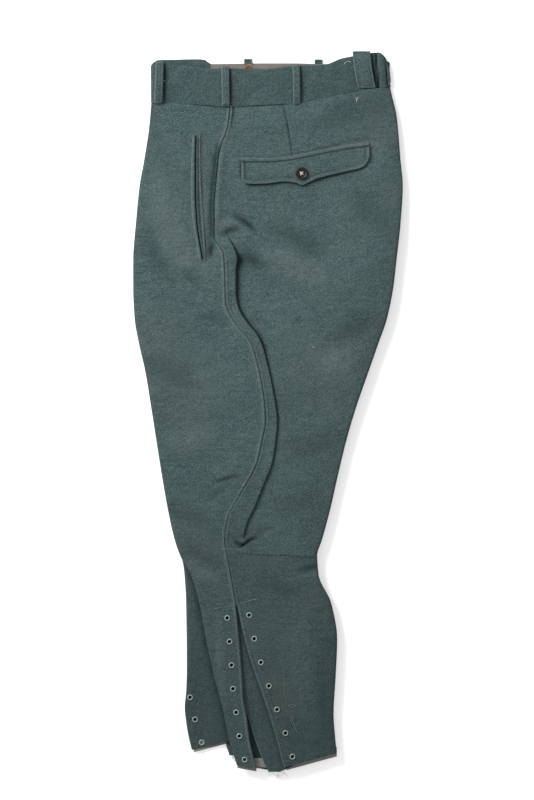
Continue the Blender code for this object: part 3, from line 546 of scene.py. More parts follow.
def tube(center: Array, radius: float, sides: int = 6) -> bmesh.types.BMesh:
    """Make a closed thread along a route.

    Args:
        center: Points of the route.
        radius: Radius of the thread.
        sides: Number of its sides.

    Returns:
        A new bmesh.
    """
    shape = bmesh.new()
    count = len(center)
    rings = []
    for i, place in enumerate(center):
        ahead = Vector(center[min(i + 1, count - 1)]) - Vector(center[max(i - 1, 0)])
        turn = ahead.to_track_quat("Z", "Y").to_matrix().to_4x4()
        ring = bmesh.ops.create_circle(shape, cap_ends=False, segments=sides, radius=radius,
                                       matrix=Matrix.Translation(Vector(place)) @ turn)
        rings.append(ring["verts"])
    edges = [{edge for vert in ring for edge in vert.link_edges} for ring in rings]
    for first, second in zip(edges, edges[1:]):
        bmesh.ops.bridge_loops(shape, edges=list(first | second))
    bmesh.ops.holes_fill(shape, edges=[e for e in shape.edges if e.is_boundary], sides=0)
    bmesh.ops.recalc_face_normals(shape, faces=shape.faces)
    return shape


def lathe(outline: Sequence[tuple[float, float]], closed: bool, steps: int,
          place: Vector) -> bmesh.types.BMesh:
    """Turn an outline about the upright line through a place.

    Args:
        outline: (radius, height) of each of its points.
        closed: Whether its last point joins its first.
        steps: Number of faces round it.
        place: Where its middle line meets its height 0.

    Returns:
        A new bmesh.
    """
    shape = bmesh.new()
    verts = [shape.verts.new((radius, 0.0, height)) for radius, height in outline]
    pairs = zip(verts[-1:] + verts, verts) if closed else zip(verts, verts[1:])
    edges = [shape.edges.new(pair) for pair in pairs]
    bmesh.ops.spin(shape, geom=verts + edges, cent=(0, 0, 0), axis=(0, 0, 1),
                   angle=2 * math.pi, steps=steps, use_merge=True)
    bmesh.ops.remove_doubles(shape, verts=shape.verts, dist=1e-6)
    bmesh.ops.recalc_face_normals(shape, faces=shape.faces)
    bmesh.ops.translate(shape, verts=shape.verts, vec=place)
    return shape


def join(name: str, shapes: Sequence[bmesh.types.BMesh]) -> bpy.types.Object:
    """Join many small shapes into one object."""
    whole = bmesh.new()
    for shape in shapes:
        mesh = bpy.data.meshes.new("scrap")
        shape.to_mesh(mesh)
        shape.free()
        whole.from_mesh(mesh)
        bpy.data.meshes.remove(mesh)
    mesh = bpy.data.meshes.new(name)
    whole.to_mesh(mesh)
    whole.free()
    mesh.shade_smooth()
    mesh.set_sharp_from_angle(angle=math.radians(60))
    return link(name, mesh)


class Value:
    """A shader value: arithmetic on it adds Math nodes."""

    def __init__(self, kit: "NodeKit", socket: bpy.types.NodeSocket) -> None:
        """Wrap an output socket."""
        self.kit = kit
        self.socket = socket

    def _math(self, operation: str, *values: object) -> "Value":
        """Add a Math node."""
        made = self.kit.node("ShaderNodeMath", {"operation": operation},
                             {i: value for i, value in enumerate(values)})
        return Value(self.kit, made.outputs[0])

    def __add__(self, other: object) -> "Value":
        """Sum."""
        return self._math("ADD", self, other)

    def __radd__(self, other: object) -> "Value":
        """Sum, reflected."""
        return self._math("ADD", other, self)

    def __sub__(self, other: object) -> "Value":
        """Difference."""
        return self._math("SUBTRACT", self, other)

    def __rsub__(self, other: object) -> "Value":
        """Difference, reflected."""
        return self._math("SUBTRACT", other, self)

    def __mul__(self, other: object) -> "Value":
        """Product."""
        return self._math("MULTIPLY", self, other)

    def clamp(self) -> "Value":
        """Keep the value between 0 and 1."""
        return self._math("MINIMUM", self._math("MAXIMUM", self, 0.0), 1.0)

    def ramp(self, low: float, high: float) -> "Value":
        """Go smoothly from 0 at `low` to 1 at `high`."""
        made = self.kit.node("ShaderNodeMapRange", {"interpolation_type": "SMOOTHSTEP"},
                             {"Value": self, "From Min": low, "From Max": high})
        return Value(self.kit, made.outputs["Result"])


class NodeKit:
    """Builds the node tree of one material."""

    def __init__(self, name: str) -> None:
        """Make a material with an empty Principled BSDF."""
        self.material = bpy.data.materials.new(name)
        self.material.use_nodes = True
        self.tree = self.material.node_tree
        self.shader = self.tree.nodes["Principled BSDF"]
        self.place = self.node("ShaderNodeTexCoord", {}, {}).outputs["Object"]

    def node(self, kind: str, settings: dict, inputs: dict) -> bpy.types.Node:
        """Add a node.

        Args:
            kind: The node's type.
            settings: Its properties, set first.
            inputs: Values, links or Values for its sockets, by name or number.

        Returns:
            The new node.
        """
        made = self.tree.nodes.new(kind)
        for key, value in settings.items():
            setattr(made, key, value)
        for key, value in inputs.items():
            self.put(made.inputs[key], value)
        return made

    def put(self, socket: bpy.types.NodeSocket, value: object) -> None:
        """Set or link one input socket."""
        if isinstance(value, Value):
            value = value.socket
        if isinstance(value, bpy.types.NodeSocket):
            self.tree.links.new(value, socket)
        elif isinstance(value, tuple) and len(value) == 3 and socket.type == "RGBA":
            socket.default_value = (*value, 1.0)
        else:
            socket.default_value = value

    def noise(self, scale: float, detail: float = 2.0, rough: float = 0.5,
              stretch: tuple[float, float, float] = (1.0, 1.0, 1.0)) -> Value:
        """Noise on Object coordinates, with `scale` lumps in a metre."""
        place = self.node("ShaderNodeMapping", {}, {"Vector": self.place, "Scale": stretch})
        made = self.node("ShaderNodeTexNoise", {}, {
            "Vector": place.outputs[0], "Scale": scale, "Detail": detail, "Roughness": rough})
        return Value(self, made.outputs["Fac"])

    def attribute(self, name: str) -> Value:
        """A value stored on the mesh."""
        made = self.node("ShaderNodeAttribute", {"attribute_name": name}, {})
        return Value(self, made.outputs["Fac"])

    def mix(self, factor: object, first: object, second: object) -> bpy.types.NodeSocket:
        """Mix two colours."""
        made = self.node("ShaderNodeMix", {"data_type": "RGBA"}, {"Factor": factor})
        self.put(made.inputs[6], first)
        self.put(made.inputs[7], second)
        return made.outputs[2]

    def bump(self, height: Value, distance: float, strength: float = 1.0,
             under: Optional[bpy.types.NodeSocket] = None) -> bpy.types.NodeSocket:
        """Bump from a height, on top of another normal."""
        inputs: dict = {"Height": height, "Distance": distance, "Strength": strength}
        if under is not None:
            inputs["Normal"] = under
        return self.node("ShaderNodeBump", {}, inputs).outputs["Normal"]

    def spot(self, across: float, down: float, radius: float) -> Value:
        """Soft round patch on the garment, 1 at its middle."""
        centre = G.point(across, down, 0.0)
        flat = self.node("ShaderNodeVectorMath", {"operation": "MULTIPLY"}, {
            0: self.place, 1: (1.0, 1.0, 0.0)})
        gap = self.node("ShaderNodeVectorMath", {"operation": "DISTANCE"}, {
            0: flat.outputs[0], 1: (centre.x, centre.y, 0.0)})
        return 1.0 - Value(self, gap.outputs["Value"]).ramp(0.0, radius)


@dataclass(frozen=True)
class Stain:
    """Worn or dusty patch: its place, its radius and its strength."""

    across: float
    down: float
    radius: float
    strength: float


@dataclass(frozen=True)
class Wool:
    """Heavy felted wool: heathered grey-green with a brushed nap, with painted highlights and painted
    shade mixed into its colour from a mesh attribute.
    """

    name: str = "felted_wool"
    deep: tuple[float, float, float] = (0.022, 0.044, 0.047)
    body: tuple[float, float, float] = (0.082, 0.122, 0.120)
    fleck: tuple[float, float, float] = (0.185, 0.225, 0.215)
    dust: tuple[float, float, float] = (0.098, 0.098, 0.084)
    # Colour toward which painted highlights are mixed.
    pale: tuple[float, float, float] = (0.190, 0.220, 0.205)
    # Darkest colour: painted shade is mixed toward it, and so is the darkening towards the bottom.
    darkest: tuple[float, float, float] = (0.012, 0.022, 0.024)
    stains: tuple[Stain, ...] = (
        Stain(0.205, 0.890, 0.040, 0.28), Stain(0.212, 0.915, 0.034, 0.24),
        Stain(0.085, 0.715, 0.050, 0.26), Stain(0.070, 0.670, 0.050, 0.22),
        Stain(0.105, 0.300, 0.050, 0.12), Stain(0.345, 0.110, 0.050, 0.22),
        Stain(0.262, 0.772, 0.050, 0.22), Stain(0.372, 0.200, 0.030, 0.34),
        Stain(0.368, 0.300, 0.034, 0.36), Stain(0.345, 0.400, 0.034, 0.30),
        Stain(0.060, 0.480, 0.090, 0.22), Stain(0.270, 0.450, 0.100, 0.18),
        Stain(0.030, 0.400, 0.050, 0.30))

    def build(self) -> bpy.types.Material:
        """Make the material."""
        kit = NodeKit(self.name)
        broad = kit.noise(11.0, 4.0, 0.6)
        cloud = kit.noise(85.0, 3.0, 0.6)
        heather = kit.noise(540.0, 3.0, 0.75)
        weft = kit.noise(240.0, 2.0, 0.6, (0.16, 1.0, 0.6))
        hair = kit.noise(880.0, 3.0, 0.75)
        tone = (broad.ramp(0.30, 0.70) * 0.16 + cloud.ramp(0.35, 0.65) * 0.10
                + heather.ramp(0.42, 0.58) * 0.48 + weft.ramp(0.38, 0.62) * 0.14
                + hair.ramp(0.43, 0.57) * 0.42 - 0.14).clamp()
        colour = kit.mix(tone, self.deep, self.body)
        bright = (heather * 0.5 + hair * 0.5).ramp(0.55, 0.66) * 0.55
        colour = kit.mix(bright, colour, self.fleck)
        # Darker towards the bottom of the garment.
        height = kit.node("ShaderNodeSeparateXYZ", {}, {0: kit.place}).outputs["Y"]
        below = Value(kit, height) * -1.0
        fade = below.ramp(-0.15, 0.20) * 0.10 + below.ramp(0.10, 0.50) * 0.32
        colour = kit.mix(fade, colour, self.darkest)
        grime: Optional[Value] = None
        for stain in self.stains:
            patch = kit.spot(stain.across, stain.down, stain.radius) * stain.strength
            grime = patch if grime is None else grime + patch
        grime = (grime * (0.35 + cloud)).clamp()
        colour = kit.mix(grime * 0.6, colour, self.dust)
        colour = kit.mix(kit.spot(0.1883, 0.3410, 0.0026) * 0.9, colour, self.darkest)
        # Painted light from the mesh attribute: above 0 painted highlights, mixed toward the highlight
        # colour; below 0 painted shade and the darker tone of some pieces, mixed toward the darkest
        # colour.
        wear = kit.attribute("wear")
        colour = kit.mix((wear * (0.45 + heather * 0.9)).clamp(), colour, self.pale)
        shade = (wear * -1.0).clamp()
        colour = kit.mix(shade, colour, self.darkest)
        kit.put(kit.shader.inputs["Base Color"], colour)
        kit.put(kit.shader.inputs["Roughness"], (0.86 + hair * 0.14).clamp())
        kit.shader.inputs["Specular IOR Level"].default_value = 0.16
        kit.shader.inputs["Sheen Weight"].default_value = 0.08
        kit.shader.inputs["Sheen Roughness"].default_value = 0.55
        kit.shader.inputs["Sheen Tint"].default_value = (0.62, 0.78, 0.76, 1.0)
        felt = kit.bump(heather * 0.7 + hair * 0.5 + weft * 0.5, 0.0011)
        kit.put(kit.shader.inputs["Normal"], kit.bump(cloud, 0.0022, 0.8, felt))
        return kit.material


@dataclass(frozen=True)
class PlainCloth:
    """Cotton lining, twilled tape or sewing thread."""

    name: str
    dark: tuple[float, float, float]
    light: tuple[float, float, float]
    grain: float = 700.0

    def build(self) -> bpy.types.Material:
        """Make the material."""
        kit = NodeKit(self.name)
        cloud = kit.noise(60.0, 3.0)
        twill = kit.node("ShaderNodeTexWave", {"wave_type": "BANDS", "bands_direction": "DIAGONAL"}, {
            "Vector": kit.place, "Scale": self.grain, "Distortion": 1.2, "Detail": 2.0})
        rib = Value(kit, twill.outputs["Fac"])
        grain = kit.noise(self.grain, 2.0)
        tone = (cloud * 0.6 + rib * 0.25 + grain * 0.5 - 0.2).clamp()
        kit.put(kit.shader.inputs["Base Color"], kit.mix(tone, self.dark, self.light))
        kit.put(kit.shader.inputs["Roughness"], (0.72 + grain * 0.2).clamp())
        kit.shader.inputs["Specular IOR Level"].default_value = 0.25
        kit.put(kit.shader.inputs["Normal"], kit.bump(rib * 0.6 + grain * 0.6, 0.0003))
        return kit.material


@dataclass(frozen=True)
class Horn:
    """Moulded button: mottled and half gloss."""

    name: str
    dark: tuple[float, float, float]
    light: tuple[float, float, float]
    roughness: float = 0.34

    def build(self) -> bpy.types.Material:
        """Make the material."""
        kit = NodeKit(self.name)
        swirl = kit.noise(220.0, 4.0, 0.6)
        speck = kit.noise(1400.0, 2.0, 0.6)
        tone = (swirl.ramp(0.40, 0.66) * 0.7 + speck.ramp(0.55, 0.75) * 0.3).clamp()
        kit.put(kit.shader.inputs["Base Color"], kit.mix(tone, self.dark, self.light))
        kit.put(kit.shader.inputs["Roughness"], (self.roughness + speck * 0.25).clamp())
        kit.put(kit.shader.inputs["Normal"], kit.bump(speck, 0.00008))
        kit.shader.inputs["Specular IOR Level"].default_value = 0.22
        return kit.material


@dataclass(frozen=True)
class EyeletMetal:
    """Eyelet of painted metal, grey-green, with the metal showing where it is rubbed."""

    name: str = "eyelet_metal"
    paint: tuple[float, float, float] = (0.230, 0.280, 0.260)
    metal: tuple[float, float, float] = (0.400, 0.420, 0.385)
    tarnish: tuple[float, float, float] = (0.150, 0.150, 0.110)

    def build(self) -> bpy.types.Material:
        """Make the material."""
        kit = NodeKit(self.name)
        patch = kit.noise(500.0, 3.0, 0.6)
        grain = kit.noise(2400.0, 2.0, 0.6)
        colour = kit.mix(patch.ramp(0.52, 0.66), self.paint, self.metal)
        colour = kit.mix(grain.ramp(0.60, 0.76) * 0.6, colour, self.tarnish)
        kit.put(kit.shader.inputs["Base Color"], colour)
        kit.put(kit.shader.inputs["Metallic"], patch.ramp(0.52, 0.66) * 0.7)
        kit.put(kit.shader.inputs["Roughness"], (0.34 + grain * 0.3).clamp())
        kit.put(kit.shader.inputs["Normal"], kit.bump(grain, 0.00006))
        return kit.material


@dataclass
class Finishes:
    """Every material of the garment."""

    wool: bpy.types.Material = field(default_factory=lambda: Wool().build())
    lining: bpy.types.Material = field(default_factory=lambda: PlainCloth(
        "cotton_lining", (0.125, 0.112, 0.100), (0.235, 0.215, 0.195)).build())
    tape: bpy.types.Material = field(default_factory=lambda: PlainCloth(
        "hem_tape_twill", (0.165, 0.154, 0.138), (0.300, 0.285, 0.258), 900.0).build())
    thread: bpy.types.Material = field(default_factory=lambda: PlainCloth(
        "sewing_thread", (0.110, 0.150, 0.140), (0.220, 0.260, 0.240), 2600.0).build())
    # Dark thread laid in the knee and waist seam grooves as painted shade.
    groove: bpy.types.Material = field(default_factory=lambda: PlainCloth(
        "seam_groove", (0.014, 0.024, 0.025), (0.036, 0.056, 0.057), 2200.0).build())
    tack: bpy.types.Material = field(default_factory=lambda: PlainCloth(
        "tack_thread", (0.170, 0.200, 0.170), (0.300, 0.330, 0.280), 2600.0).build())
    pale_thread: bpy.types.Material = field(default_factory=lambda: PlainCloth(
        "pale_thread", (0.420, 0.410, 0.350), (0.640, 0.630, 0.560), 2600.0).build())
    horn: bpy.types.Material = field(default_factory=lambda: Horn(
        "brown_button", (0.005, 0.004, 0.003), (0.040, 0.026, 0.014)).build())
    amber: bpy.types.Material = field(default_factory=lambda: Horn(
        "amber_button_finish", (0.120, 0.046, 0.009), (0.230, 0.095, 0.018), 0.34).build())
    metal: bpy.types.Material = field(default_factory=lambda: EyeletMetal().build())


# Painted light on the wool: highlights above 0, painted shade and shadow below 0, beside its seams and
# edges, in its creases and under what lies on it; a darker tone for the under front and the calves
SEAM_PALE = Rise(0.34, 0.0011, 0.0021)
SEAM_DARK = Rise(-0.70, 0.0010)
SLIT_DARK = Rise(-0.95, 0.0022)
FLAP_FOOT_DARK = Rise(-1.0, 0.0026)
FLAP_SIDE_DARK = Rise(-0.7, 0.0014)
FLAP_CROWN_DARK = Rise(-0.55, 0.0014)
VALLEY_DARK = Rise(-0.85, 0.0036)
BACK_EDGE_DARK = Rise(-0.17, 0.024)
FRONT_EDGE_DARK = Rise(-0.12, 0.018)
UNDER_EDGE_DARK = Rise(-0.75, 0.0040)
WAIST_DARK = Rise(-0.80, 0.0014, 0.0008)
INNER_DARK = {Half.LEFT: 0.85, Half.RIGHT: 0.10}
UNDER_FRONT_DARK = 0.95
# Darker tone of the whole under front.
UNDER_TURN_DARK = 0.10
# Darker tone of the calf panels.
CALF_DARK = 0.12
CREASE_TONE = 150.0
CREASE_DARKEST = -0.55
CREASE_PALEST = 0.10
TIGHT_CREASE = 0.0045
TIGHT_CREASE_DARK = 0.80
WIDE_CREASE_DARK = 0.13
RIDGE_PALE = -0.04

Start = Callable[[Array], Array]
Level = Callable[[Array, Array], Array]


def no_drop(across: Array, down: Array) -> Array:
    """A drop of nothing, in the shape of the places."""
    return across * 0.0


@dataclass
class Panel:
    """One cut piece of a leg: it runs round the folded edge to the inner seam.

    Args:
        node: CAD node that it stands for.
        half: Which half it belongs to.
        top: Place of its upper edge.
        foot: Place of its lower edge.
        start: Where it starts on the outer layer.
        folded: The edge that it turns round.
        end: Where it ends on the inner layer.
        lean: How far each place lies below its row.
        pitch: Size of its cells.
        fold: Whether it carries the fold of side fullness.
        holes: (across, down) of each eyelet hole.
        drop: How far each place lies below the plain level.
    """

    node: str
    half: Half
    top: float
    foot: float
    start: Start
    folded: Start
    end: Start
    lean: Level
    pitch: float = 0.0030
    fold: bool = False
    holes: Sequence[tuple[float, float]] = ()
    drop: Level = no_drop

    def rows(self) -> Array:
        """Places of the rows, from the top to the foot, finer at both ends."""
        span = self.foot - self.top
        fine = 0.004 / span
        pitch = self.pitch / span
        return self.top + span * shares([(fine, fine / 4), (1.0 - fine, pitch), (1.0, fine / 4)])

    def wear(self, across: Array, down: Array, outer: Array) -> Array:
        """Painted light on each place: a highlight beside its outer seam, and painted shade in the
        seam, on its inner layer, in creases and under the top leg.
        """
        gap = np.abs(across - self.start(down))
        # Painted highlight beside the outer seam and painted shade in it; painted shade on the inner
        # layer.
        side = np.where(down > G.slit_down, 0.8, 1.0 if "front" in self.node else 0.15)
        seam = SEAM_PALE.around(gap) * side + SEAM_DARK.around(gap)
        painted_tone = seam * outer - INNER_DARK[self.half] * (1.0 - outer)
        if self.half is Half.LEFT:
            # Painted shade in crease troughs and painted highlights on their ridges.
            creases = sum(crease.height(across, down) for crease in CREASES)
            painted_tone = painted_tone + np.clip(creases * CREASE_TONE, CREASE_DARKEST, CREASE_PALEST) * outer
            painted_tone = painted_tone + self.shade(across, down) * outer
        elif "front" in self.node:
            # Under leg's front: painted shade on its face on the floor, seen through the eyelet holes;
            # a darker tone over the whole panel; a painted shadow beside the top leg's front edge below
            # the knee.
            edge = UNDER_EDGE_DARK.beyond(G.front(down) - across) * smooth((down - 0.70) / 0.03)
            painted_tone = painted_tone - UNDER_FRONT_DARK * outer - UNDER_TURN_DARK + edge * (1.0 - outer)
        # Calf panels are darker all over.
        if "calf" in self.node:
            painted_tone = painted_tone - CALF_DARK
        return painted_tone

    def shade(self, across: Array, down: Array) -> Array:
        """Darkening where light does not reach: the pocket slit, seams and the fold's foot."""
        # Painted shade in the pocket slit.
        inside = (down > 0.120) & (down < 0.293)
        dark = SLIT_DARK.around(across - G.pocket_slit(down)) * inside
        if self.fold:
            # Painted shadow of the side fold's lip.
            gap = across - np.where(down < 0.25, across - 1.0, G.lip(down))
            share = G.fold_rise(down)
            reach = G.fold_shadow(down)
            dark = dark - np.minimum(share * 2.5, 1.0) * bell(gap, reach) * (gap > -0.0005)
            # Painted shadow below and beside the hip flap, and painted shade along the welt's top.
            foot = down - (G.flap_foot(across) + 0.0010)
            along = between(across, 0.1545, 0.005, 0.330, 0.010)
            dark = dark + along * FLAP_FOOT_DARK.beyond(foot) * (foot > -0.005)
            beside = (down > G.flap_top(across) - 0.003) & (down < G.flap_foot(across) - 0.006)
            dark = dark + beside * FLAP_SIDE_DARK.around(across - 0.1506)
            crown = down - (G.flap_top(across) - 0.0060)
            dark = dark + along * FLAP_CROWN_DARK.around(crown)
        else:
            # Painted shade in the valley beside the side seam.
            valley = between(down, 0.120, 0.030, 0.275, 0.015)
            dark = dark + valley * VALLEY_DARK.beyond(G.side(down) - across)
        # Painted shade in crease troughs and painted highlights on ridges.
        for crease in CREASES:
            share = crease.height(across, down) / crease.rise
            tight = TIGHT_CREASE_DARK if crease.width < TIGHT_CREASE else WIDE_CREASE_DARK
            dark = dark - share * (tight if crease.rise < 0.0 else RIDGE_PALE)
        # Painted shade along the rounded back and front edges.
        dark = dark + BACK_EDGE_DARK.beyond(G.back(down) - across)
        dark = dark + FRONT_EDGE_DARK.beyond(across - G.front(down))
        # Painted shade along the waist seam.
        return dark + WAIST_DARK.around(down - G.band_seam(across))

    def build(self, finishes: Finishes) -> bpy.types.Object:
        """Make the panel.

        Args:
            finishes: The garment's materials.

        Returns:
            The finished piece.
        """
        down = self.rows()[:, None]
        edge = self.folded(down)
        start = self.start(down)
        facing = np.sign(edge - start)
        turn = np.pi / 2 * (1.0 + smooth((down - G.crotch_top + G.turn_run) / G.turn_run))
        space = G.seam / 2 + G.inner_space * np.abs(np.cos(turn))
        level = G.middle(edge, down) - space - self.drop(edge, down)
        radius = (level - G.cloth / 2) / (1.0 - np.cos(turn))
        centre = edge - facing * (radius + G.cloth / 2)
        pieces = []
        if self.fold:
            pieces.append(self.fold_cells(down, start))
            start = pieces[0][0][:, -1:] + 0.0006
        run = float(np.abs(centre - start).max())
        fine = min(0.2, 0.004 / run)
        outer = shares([(fine, fine / 6), (1.0, self.pitch / run)])[:-1]
        if self.fold:
            outer = shares([(1.0, self.pitch / run)])[:-1]
        across = start + (centre - start) * outer
        flat = np.full_like(across, G.cloth / 2)
        pieces.append((across, flat, np.ones_like(across)))
        angle = turn * np.linspace(0.0, 1.0, 11)
        around = centre + facing * radius * np.sin(angle)
        up = G.cloth / 2 + radius * (1.0 - np.cos(angle))
        pieces.append((around, up, np.clip(1.0 - angle / (np.pi / 2), 0.0, 1.0)))
        last = around[:, -1:]
        target = self.end(down)
        inner = np.linspace(0.0, 1.0, 15)[1:]
        inside = last + np.where(down <= G.crotch_top, 0.0, target - last) * inner
        rise = np.where(down <= G.crotch_top, up[:, -1:],
                        G.middle(inside, down) - space - self.drop(inside, down))
        pieces.append((inside, rise, np.zeros_like(inside)))
        across = np.concatenate([part[0] for part in pieces], axis=1)
        height = np.concatenate([part[1] for part in pieces], axis=1)
        weight = np.concatenate([part[2] for part in pieces], axis=1)
        spread = np.broadcast_to(down, across.shape)
        if self.half is Half.LEFT:
            folded = 0 if not self.fold else pieces[0][0].shape[1]
            base = 2.0 * G.middle(across, spread) - height
            lift = G.relief(across, spread) * weight
            gap = np.abs(across - self.start(down))
            groove = G.seam_dent.around(gap) * weight
            ridge = G.seam_bank.around(gap) * weight
            height = base + lift + groove + ridge
            if folded:
                base_part = 2.0 * G.middle(across[:, :folded], down) - G.cloth / 2
                height[:, :folded] = (base_part + pieces[0][1] + groove[:, :folded]
                                      + G.puff + ridge[:, :folded])
        points = G.world(across, spread + self.lean(across, spread), height)
        ripple = ruffle(points, 0.048, 3.0) * 0.00095 + ruffle(points, 0.017, 9.0) * 0.00034
        if self.half is Half.LEFT:
            points[..., 2] += ripple * weight
        wear = self.wear(across, spread, weight)
        thing = sheet(self.node + "_cloth", points, wear, holes=self.holes)
        Piece(self.node + "_cloth", [self.node], "wool").finish(thing, finishes.wool)
        return thing

    def fold_cells(self, down: Array, start: Array) -> tuple[Array, Array, Array]:
        """Cells of the side fold: a strip, a lip that turns under and a turn back.

        Args:
            down: Rows.
            start: The side seam on each row.

        Returns:
            Across, height above the plain level, and weight of each cell.
        """
        share = np.maximum(G.fold_rise(down), 0.03)
        radius = G.fold_height * share / 4.0
        plain = start + 0.0022
        lip = np.where(down < G.lip.keys[0], plain, G.lip(down))
        fade = between(down, 0.232, 0.028, 0.712, 0.024)
        lip = plain + (lip - plain) * fade
        strip = shares([(0.3, 0.05), (1.0, 0.14)])[:-1]
        across = start + (lip - radius - start) * strip
        height = np.repeat(4.0 * radius, len(strip), axis=1)
        angle = np.linspace(0.0, np.pi, 9)[None, :]
        turn_x = lip - radius + radius * np.sin(angle)
        turn_z = 3.0 * radius + radius * np.cos(angle)
        back_x = lip - radius - radius * np.sin(angle[:, 1:])
        back_z = radius + radius * np.cos(angle[:, 1:])
        across = np.concatenate([across, turn_x, back_x], axis=1)
        height = np.concatenate([height, turn_z, back_z], axis=1)
        return across, height, np.ones_like(across)


@dataclass
class Legs:
    """Front, back and lower back panels of both halves."""

    finishes: Finishes
    under_front: Curve = curve(
        (0.640, 0.050), (0.685, 0.060), (0.728, 0.071), (0.776, 0.074), (0.865, 0.075),
        (0.900, 0.074), (0.920, 0.072), (0.945, 0.075), (0.981, 0.083))
    under_flap: Curve = curve(
        (0.776, 0.144), (0.820, 0.124), (0.865, 0.110), (0.900, 0.104), (0.920, 0.103),
        (0.945, 0.106), (0.981, 0.113))

    def waist_lean(self, across: Array, down: Array) -> Array:
        """How the rows near the waist follow its seam."""
        fade = 1.0 - smooth((down - G.waist_down) / G.waist_fade)
        return (G.band_seam(across) + 0.0006 - G.waist_down) * fade

    def hem_lean(self, slope: float, centre: float, hem: float) -> Level:
        """How the rows near a hem follow its slant.

        Args:
            slope: Slant of the hem.
            centre: Place across where it has no offset.
            hem: Place of the hem there.

        Returns:
            Function of across and down.
        """
        def lean(across: Array, down: Array) -> Array:
            offset = slope * (np.clip(across, centre - 0.06, centre + 0.04) - centre)
            return offset * smooth((down - hem + G.hem_fade) / G.hem_fade)
        return lean

    def ends(self, half: Half, facing: int) -> Start:
        """Return where a panel's inner layer ends: the crotch seam, then the inner seam."""
        def at(down: Array) -> Array:
            folded = G.edge(G.front if facing < 0 else G.back, down, half)
            crotch = folded + (G.fork_across - folded) * G.crotch_share(down)
            seam = np.where(down < G.fork_down, crotch, G.inseam(down))
            return seam + facing * G.seam / 2
        return at

    def front_edge(self, half: Half) -> Start:
        """Return the front edge of a half."""
        def at(down: Array) -> Array:
            plain = G.edge(G.front, down, half)
            if half is Half.LEFT:
                return plain
            return np.where(down > self.under_front.keys[0], self.under_front(down), plain)
        return at

    def back_edge(self, half: Half) -> Start:
        """Return the back edge of a half."""
        return lambda down: G.edge(G.back, down, half)

    def both_leans(self, hem: Level) -> Level:
        """Return the lean of a front panel, at its waist and its hem."""
        return lambda across, down: self.waist_lean(across, down) + hem(across, down)

    def front_start(self, half: Half) -> Start:
        """Return the rear edge of a front panel."""
        def at(down: Array) -> Array:
            lower = G.slit_front(down) if half is Half.LEFT else self.under_flap(down)
            return np.where(down > G.slit_down, lower, G.side(down)) - G.seam / 2
        return at

    def rear_start(self, down: Array) -> Array:
        """Return the front edge of a back panel."""
        return np.where(down > G.slit_down, G.slit_rear(down), G.side(down)) + G.seam / 2

    def build(self) -> None:
        """Make every panel."""
        columns = Calf(self.finishes).columns()
        left_front_lean = self.hem_lean(0.17, 0.157, G.front_hem)
        right_front_lean = self.hem_lean(-0.24, 0.104, G.under_front_hem)
        calf_lean = self.hem_lean(-0.28, 0.249, G.calf_hem)
        under_calf_lean = self.hem_lean(-0.28, 0.249, G.under_calf_hem)
        for half, pitch in ((Half.RIGHT, 0.0050), (Half.LEFT, 0.0025)):
            left = half is Half.LEFT
            front_lean = left_front_lean if left else right_front_lean
            rear_lean = calf_lean if left else under_calf_lean

            name = half.value
            back = self.back_edge(half)
            foot = G.front_hem if left else G.under_front_hem
            Panel(name + "_front", half, G.waist_down, foot, self.front_start(half),
                  self.front_edge(half), self.ends(half, -1), self.both_leans(front_lean), pitch,
                  holes=columns[0 if left else 2].places,
                  drop=no_drop if left else G.sink).build(self.finishes)
            Panel(name + "_back", half, G.waist_down, G.knee_down - G.seam / 2, self.rear_start,
                  back, self.ends(half, 1), self.waist_lean, pitch, fold=left).build(self.finishes)
            foot = G.calf_hem if left else G.under_calf_hem
            Panel(name + "_calf", half, G.knee_down + G.seam / 2, foot, self.rear_start,
                  back, self.ends(half, 1), rear_lean, pitch,
                  holes=columns[1].places if left else ()).build(self.finishes)


